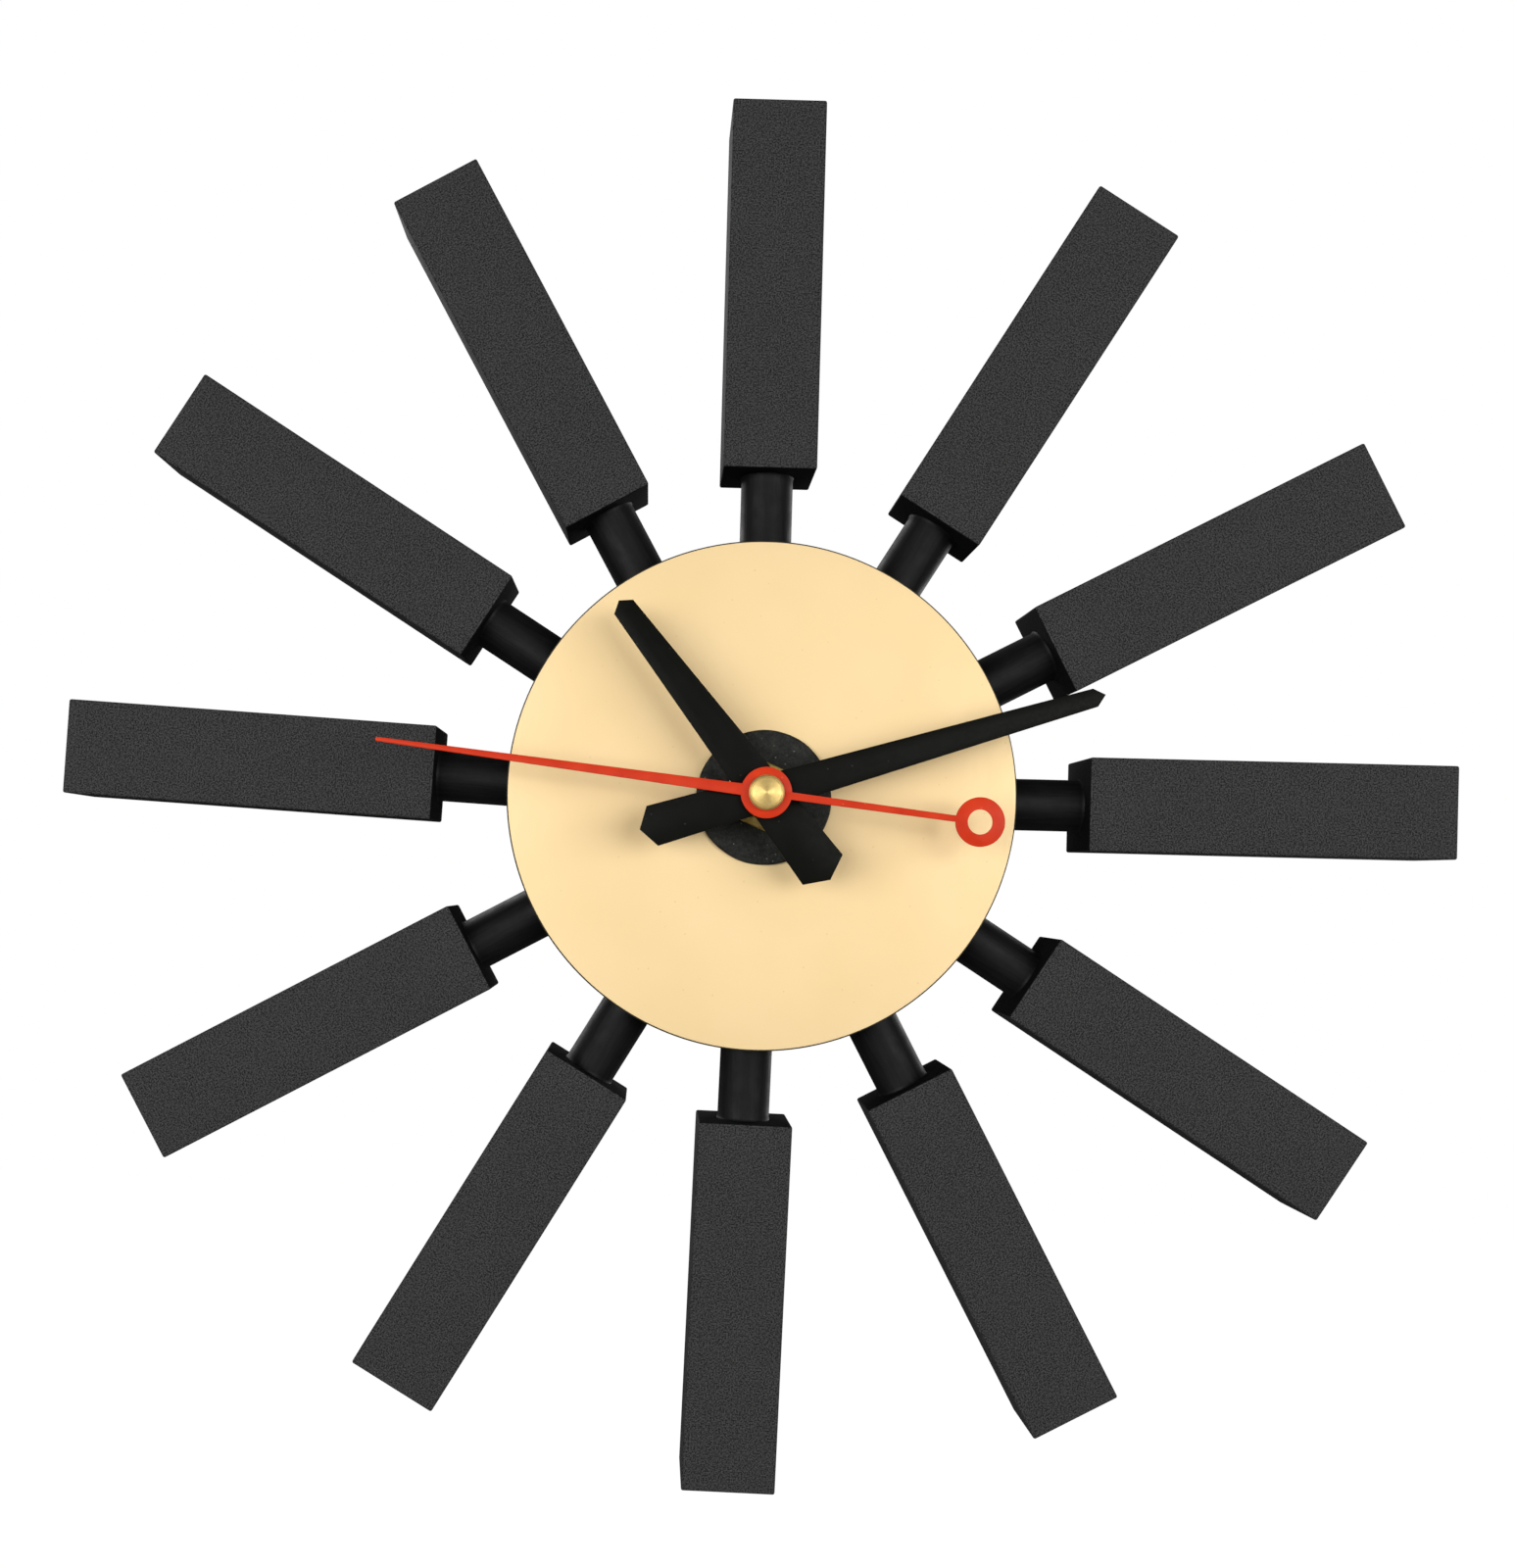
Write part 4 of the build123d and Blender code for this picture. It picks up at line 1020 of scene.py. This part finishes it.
case_outline = rounded_rectangle(CASE, CASE, CASE_CORNER)
piece("moulded_rear_shell", slab(case_outline, CASE_BACK, CASE_SPLIT, 0.4, 3), "case_plastic",
      ["movement_rear_shell"], cut=rear_shell_cuts())
front_cuts = rooms(CASE_SPLIT - 1, CASE_FRONT - SHELL) + [bar(4.02, CASE_FRONT - 3, CASE_FRONT + 1)]
piece("moulded_front_shell", slab(case_outline, CASE_SPLIT + 0.05, CASE_FRONT, 0.3),
      "case_plastic", ["movement_front_shell"], cut=front_cuts)


def raised(name, outline, rise=0.3, cut=()):
    """A raised mark moulded on the back of the movement."""
    piece(name, slab(outline, CASE_BACK - rise, CASE_BACK + 0.05, 0.08, 1), "case_plastic",
          cut=cut)


def turn_arrow(centre, radius, start, end, half=0.4, head=1.1):
    """Outline of an arc-shaped arrow that points from its start to its end angle."""
    ahead = end + math.copysign(math.degrees(2.2 * head / radius), end - start)
    tip = arc(centre, radius, ahead, ahead, 1)[:1]
    shoulders = [arc(centre, radius + side * head, end, end, 1)[0] for side in (1, -1)]
    return (arc(centre, radius + half, start, end, 16) + shoulders[:1] + tip + shoulders[1:]
            + arc(centre, radius - half, end, start, 16))


def cross_outline(x, y, reach, half):
    """Outline of a plus sign."""
    points = []
    for quarter in range(4):
        angle = math.radians(90 * quarter)
        for along, across in ((reach, -half), (reach, half), (half, half)):
            points.append((x + along * math.cos(angle) - across * math.sin(angle),
                           y + along * math.sin(angle) + across * math.cos(angle)))
    return points


guard = lathe([(7.7, CASE_BACK - 0.5), (7.85, CASE_BACK - 0.6), (8.35, CASE_BACK - 0.6),
               (8.6, CASE_BACK - 0.4), (8.7, CASE_BACK + 0.05), (7.6, CASE_BACK + 0.05)], 96)
piece("knob_guard_ring", moved(guard, KNOB_X, 0), "case_plastic")
raised("turn_arrow_upper", turn_arrow((KNOB_X, 0), 11.2, 40, 118))
raised("turn_arrow_lower", turn_arrow((KNOB_X, 0), 11.2, 202, 150))
raised("plus_mark", cross_outline(23.4, -8.0, 1.7, 0.35))
raised("minus_mark", rounded_rectangle(1.7, 0.35, 0.1, (-23.4, -8.0)))
raised("blank_label_frame", rounded_rectangle(13.0, 6.5, 1.2, (-8.5, 17.6)), 0.25,
       [slab(rounded_rectangle(12.4, 5.9, 0.7, (-8.5, 17.6)), CASE_BACK - 1, CASE_BACK + 1)])

for side_name, side in (("left", -1), ("right", 1)):
    for level_name, y in (("upper", 15.0), ("lower", -17.0)):
        clip = slab(rounded_rectangle(0.42, 3.0, 0.3, (side * (CASE + 0.1), y)), CASE_BACK + 4.4,
                    CASE_SPLIT + 3.8, 0.25)
        piece(f"snap_clip_{side_name}_{level_name}", clip, "case_plastic")

# ---- Setting knob ----

KNOB_RADIUS = 7.0
KNOB_RIDGES = 24
KNOB_GROOVE = 0.42
KNOB_BACK = back_of("setting_knob")
KNOB_FRONT = face_of("setting_knob")


def knob_outline():
    """Round outline with a narrow groove between ridges, worked out from the angle."""
    points = []
    steps = KNOB_RIDGES * 10
    for step in range(steps):
        angle = 2 * math.pi * step / steps
        groove = ((1 + math.cos(KNOB_RIDGES * angle)) / 2) ** 3
        radius = KNOB_RADIUS - KNOB_GROOVE * groove
        points.append((radius * math.cos(angle), radius * math.sin(angle)))
    return points


knob_place = UPRIGHT @ Matrix.Translation((KNOB_X * MM, 0, 0))
knob_dish = lathe([(0, KNOB_BACK - 1), (5.7, KNOB_BACK - 1), (5.5, KNOB_BACK + 0.4),
                   (0, KNOB_BACK + 0.4)], 96)
piece("ribbed_setting_knob", slab(knob_outline(), KNOB_BACK, KNOB_FRONT, 0.25), "case_plastic",
      ["setting_knob"], place=knob_place, body="motion",
      cut=[knob_dish, bar(0.91, KNOB_BACK + 0.9, KNOB_FRONT + 1, segments=32)])
knob_arrow = slab(turn_arrow((0, 0), 3.4, 250, 20, 0.35, 1.0), KNOB_BACK + 0.1,
                  KNOB_BACK + 0.45, 0.06, 1)
piece("knob_arrow", knob_arrow, "case_plastic", place=knob_place, body="motion")

# ---- Battery and contacts ----

CELL_RADIUS = size_of("battery").z / 2
CELL_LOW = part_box("battery")[0].x / MM
CELL_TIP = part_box("battery")[1].x / MM
CELL_SHOULDER = CELL_TIP - 1.0


def along_x(mesh):
    """Lay a piece drawn about Z along the battery's axis."""
    return moved(rolled(mesh, 90, "Y"), 0, CELL_Y, CELL_LEVEL)


sleeve = lathe([(5.9, CELL_LOW + 0.02), (6.5, CELL_LOW + 0.02), (6.9, CELL_LOW + 0.3),
                (CELL_RADIUS, CELL_LOW + 0.7), (CELL_RADIUS, CELL_SHOULDER - 0.8),
                (6.9, CELL_SHOULDER - 0.35), (6.5, CELL_SHOULDER - 0.1),
                (5.9, CELL_SHOULDER - 0.1)], 96)
piece("battery_sleeve", along_x(sleeve), "cell_wrap", ["battery"], body="cell")
can = lathe([(0, CELL_LOW + 0.06), (3.9, CELL_LOW), (4.4, CELL_LOW + 0.14), (5.2, CELL_LOW + 0.14),
             (5.6, CELL_LOW), (5.88, CELL_LOW + 0.2), (5.88, CELL_SHOULDER - 0.3),
             (5.5, CELL_SHOULDER - 0.15), (4.9, CELL_SHOULDER - 0.3),
             (3.4, CELL_SHOULDER - 0.3), (2.9, CELL_SHOULDER - 0.1), (2.7, CELL_SHOULDER + 0.2),
             (2.7, CELL_TIP - 0.25), (2.45, CELL_TIP), (0, CELL_TIP)], 96)
piece("battery_can", along_x(can), "plated_steel", body="cell")


def wire(points, radius):
    """Round wire through a list of points, closed at both ends."""
    sides = 10
    mesh = bmesh.new()
    rings = []
    across = None
    for index, point in enumerate(points):
        ahead = points[min(index + 1, len(points) - 1)] - points[max(index - 1, 0)]
        ahead.normalize()
        start = across if across else ahead.orthogonal()
        across = (start - ahead * start.dot(ahead)).normalized()
        beside = ahead.cross(across)
        turns = [2 * math.pi * side / sides for side in range(sides)]
        rings.append([mesh.verts.new(point + (across * math.cos(angle) + beside * math.sin(angle))
                                     * radius) for angle in turns])
    for low, high in zip(rings, rings[1:]):
        skin(mesh, low, high)
    mesh.faces.new(rings[0])
    mesh.faces.new(rings[-1])
    return mesh


def spring_mesh():
    """Conical spring of three turns from the negative contact to the battery's flat end."""
    turns = 3
    steps = 40 * turns
    wire_radius = 0.22
    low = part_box("contact_negative")[0].x / MM + 0.4 + wire_radius
    high = CELL_LOW - wire_radius
    points = []
    for step in range(steps + 1):
        share = step / steps
        angle = 2 * math.pi * turns * share
        radius = 4.1 - 1.6 * share
        points.append(Vector((radius * math.cos(angle), radius * math.sin(angle),
                              low + (high - low) * share)))
    return wire(points, wire_radius)


for name, node, end in (("positive_contact_plate", "contact_positive", 1),
                        ("negative_contact_plate", "contact_negative", 0)):
    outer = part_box(node)[end].x / MM
    inner = outer - math.copysign(0.4, outer)
    contact = slab(rounded_rectangle(5.5, 5.5, 1.4), min(outer, inner), max(outer, inner), 0.08)
    piece(name, along_x(contact), "plated_steel", [node])
piece("negative_contact_spring", along_x(spring_mesh()), "plated_steel")

# ---- Stage, lights, camera ----

FLOOR_DROP = 1.25                 # the clock hangs about this far above the floor


def stage_look():
    """Plain pale floor, lit evenly up to white where the camera sees it."""
    look = Look("studio_floor", grey(0.22), 0.9, Specular_IOR_Level=0.05,
                Emission_Color=(1.0, 1.0, 1.0, 1.0))
    look.color(look.blend(look.noise(400.0), grey(0.21), grey(0.23)))
    path = look.tree.nodes.new("ShaderNodeLightPath")
    look.link(path.outputs["Is Camera Ray"], look.shader.inputs["Emission Strength"])
    return look.material


floor_mesh = bmesh.new()
bmesh.ops.create_grid(floor_mesh, x_segments=2, y_segments=2, size=6.0)
floor_data = bpy.data.meshes.new("floor")
floor_mesh.to_mesh(floor_data)
floor_mesh.free()
floor = added("floor", floor_data)
floor.location = (0, 0, -FLOOR_DROP)
floor_data.materials.append(stage_look())


def softbox(name, place, width, height, power):
    """Rectangular soft light aimed at the clock."""
    light = bpy.data.lights.new(name, "AREA")
    light.shape = "RECTANGLE"
    light.size = width
    light.size_y = height
    light.energy = power
    lamp = added(name, light)
    lamp.location = place
    lamp.rotation_euler = (-Vector(place)).to_track_quat("-Z", "Y").to_euler()


softbox("left_softbox", (-0.85, -1.20, 0.05), 1.3, 0.6, 16.0)
softbox("right_softbox", (0.85, -1.20, 0.15), 1.3, 0.6, 14.8)
softbox("back_left_softbox", (-1.1, 1.3, 0.9), 0.8, 1.2, 18.0)
softbox("back_right_softbox", (1.2, 1.2, 0.2), 0.8, 1.2, 12.0)

world = bpy.data.worlds.new("studio")
scene.world = world
world.use_nodes = True
tree = world.node_tree
backdrop = tree.nodes["Background"]
ambient = tree.nodes.new("ShaderNodeBackground")
for node, strength in ((backdrop, 1.0), (ambient, 0.05)):
    node.inputs["Color"].default_value = (1.0, 1.0, 1.0, 1.0)
    node.inputs["Strength"].default_value = strength
path = tree.nodes.new("ShaderNodeLightPath")
chooser = tree.nodes.new("ShaderNodeMixShader")
tree.links.new(path.outputs["Is Camera Ray"], chooser.inputs["Fac"])
tree.links.new(ambient.outputs["Background"], chooser.inputs[1])
tree.links.new(backdrop.outputs["Background"], chooser.inputs[2])
tree.links.new(chooser.outputs["Shader"], tree.nodes["World Output"].inputs["Surface"])

scene.view_settings.view_transform = "Standard"
scene.view_settings.look = "None"
scene.view_settings.exposure = 0.0
scene.view_settings.gamma = 1.0

# The camera looks square at the clock from a little left of and below the hand axis. The
# clock hangs a few degrees clockwise, and its hub is near the middle of the picture. All but
# the last are in metres.
VIEW_DISTANCE = 0.340             # from the lens to the block faces
VIEW_LEFT = 0.0230                # of the lens from the hand axis
VIEW_BELOW = 0.0170
VIEW_HEIGHT = 0.320               # of the picture at the block faces
HUB_RIGHT = 0.0009                # of the hub from the middle of the picture
HUB_BELOW = 0.0025
CLOCK_LEAN = 2.77                 # degrees clockwise that the clock hangs

camera_data = bpy.data.cameras.new("camera")
camera = added("camera", camera_data)
scene.camera = camera
camera_data.sensor_fit = "VERTICAL"
camera_data.sensor_height = 36.0
camera_data.sensor_width = 36.0
camera_data.lens = camera_data.sensor_height * VIEW_DISTANCE / VIEW_HEIGHT
camera_data.shift_x = (VIEW_LEFT - HUB_RIGHT) / VIEW_HEIGHT
camera_data.shift_y = (VIEW_BELOW + HUB_BELOW) / VIEW_HEIGHT
camera_data.clip_start = 0.02
camera_data.clip_end = 50.0
lean = math.radians(CLOCK_LEAN)
right = Vector((math.cos(lean), 0, math.sin(lean)))
up = Vector((-math.sin(lean), 0, math.cos(lean)))
place = right * -VIEW_LEFT + up * -VIEW_BELOW
place.y = -(BLOCK_FACE * MM + VIEW_DISTANCE)
camera.matrix_world = Matrix((
    (right.x, up.x, 0.0, place.x),
    (right.y, up.y, -1.0, place.y),
    (right.z, up.z, 0.0, place.z),
    (0.0, 0.0, 0.0, 1.0)))
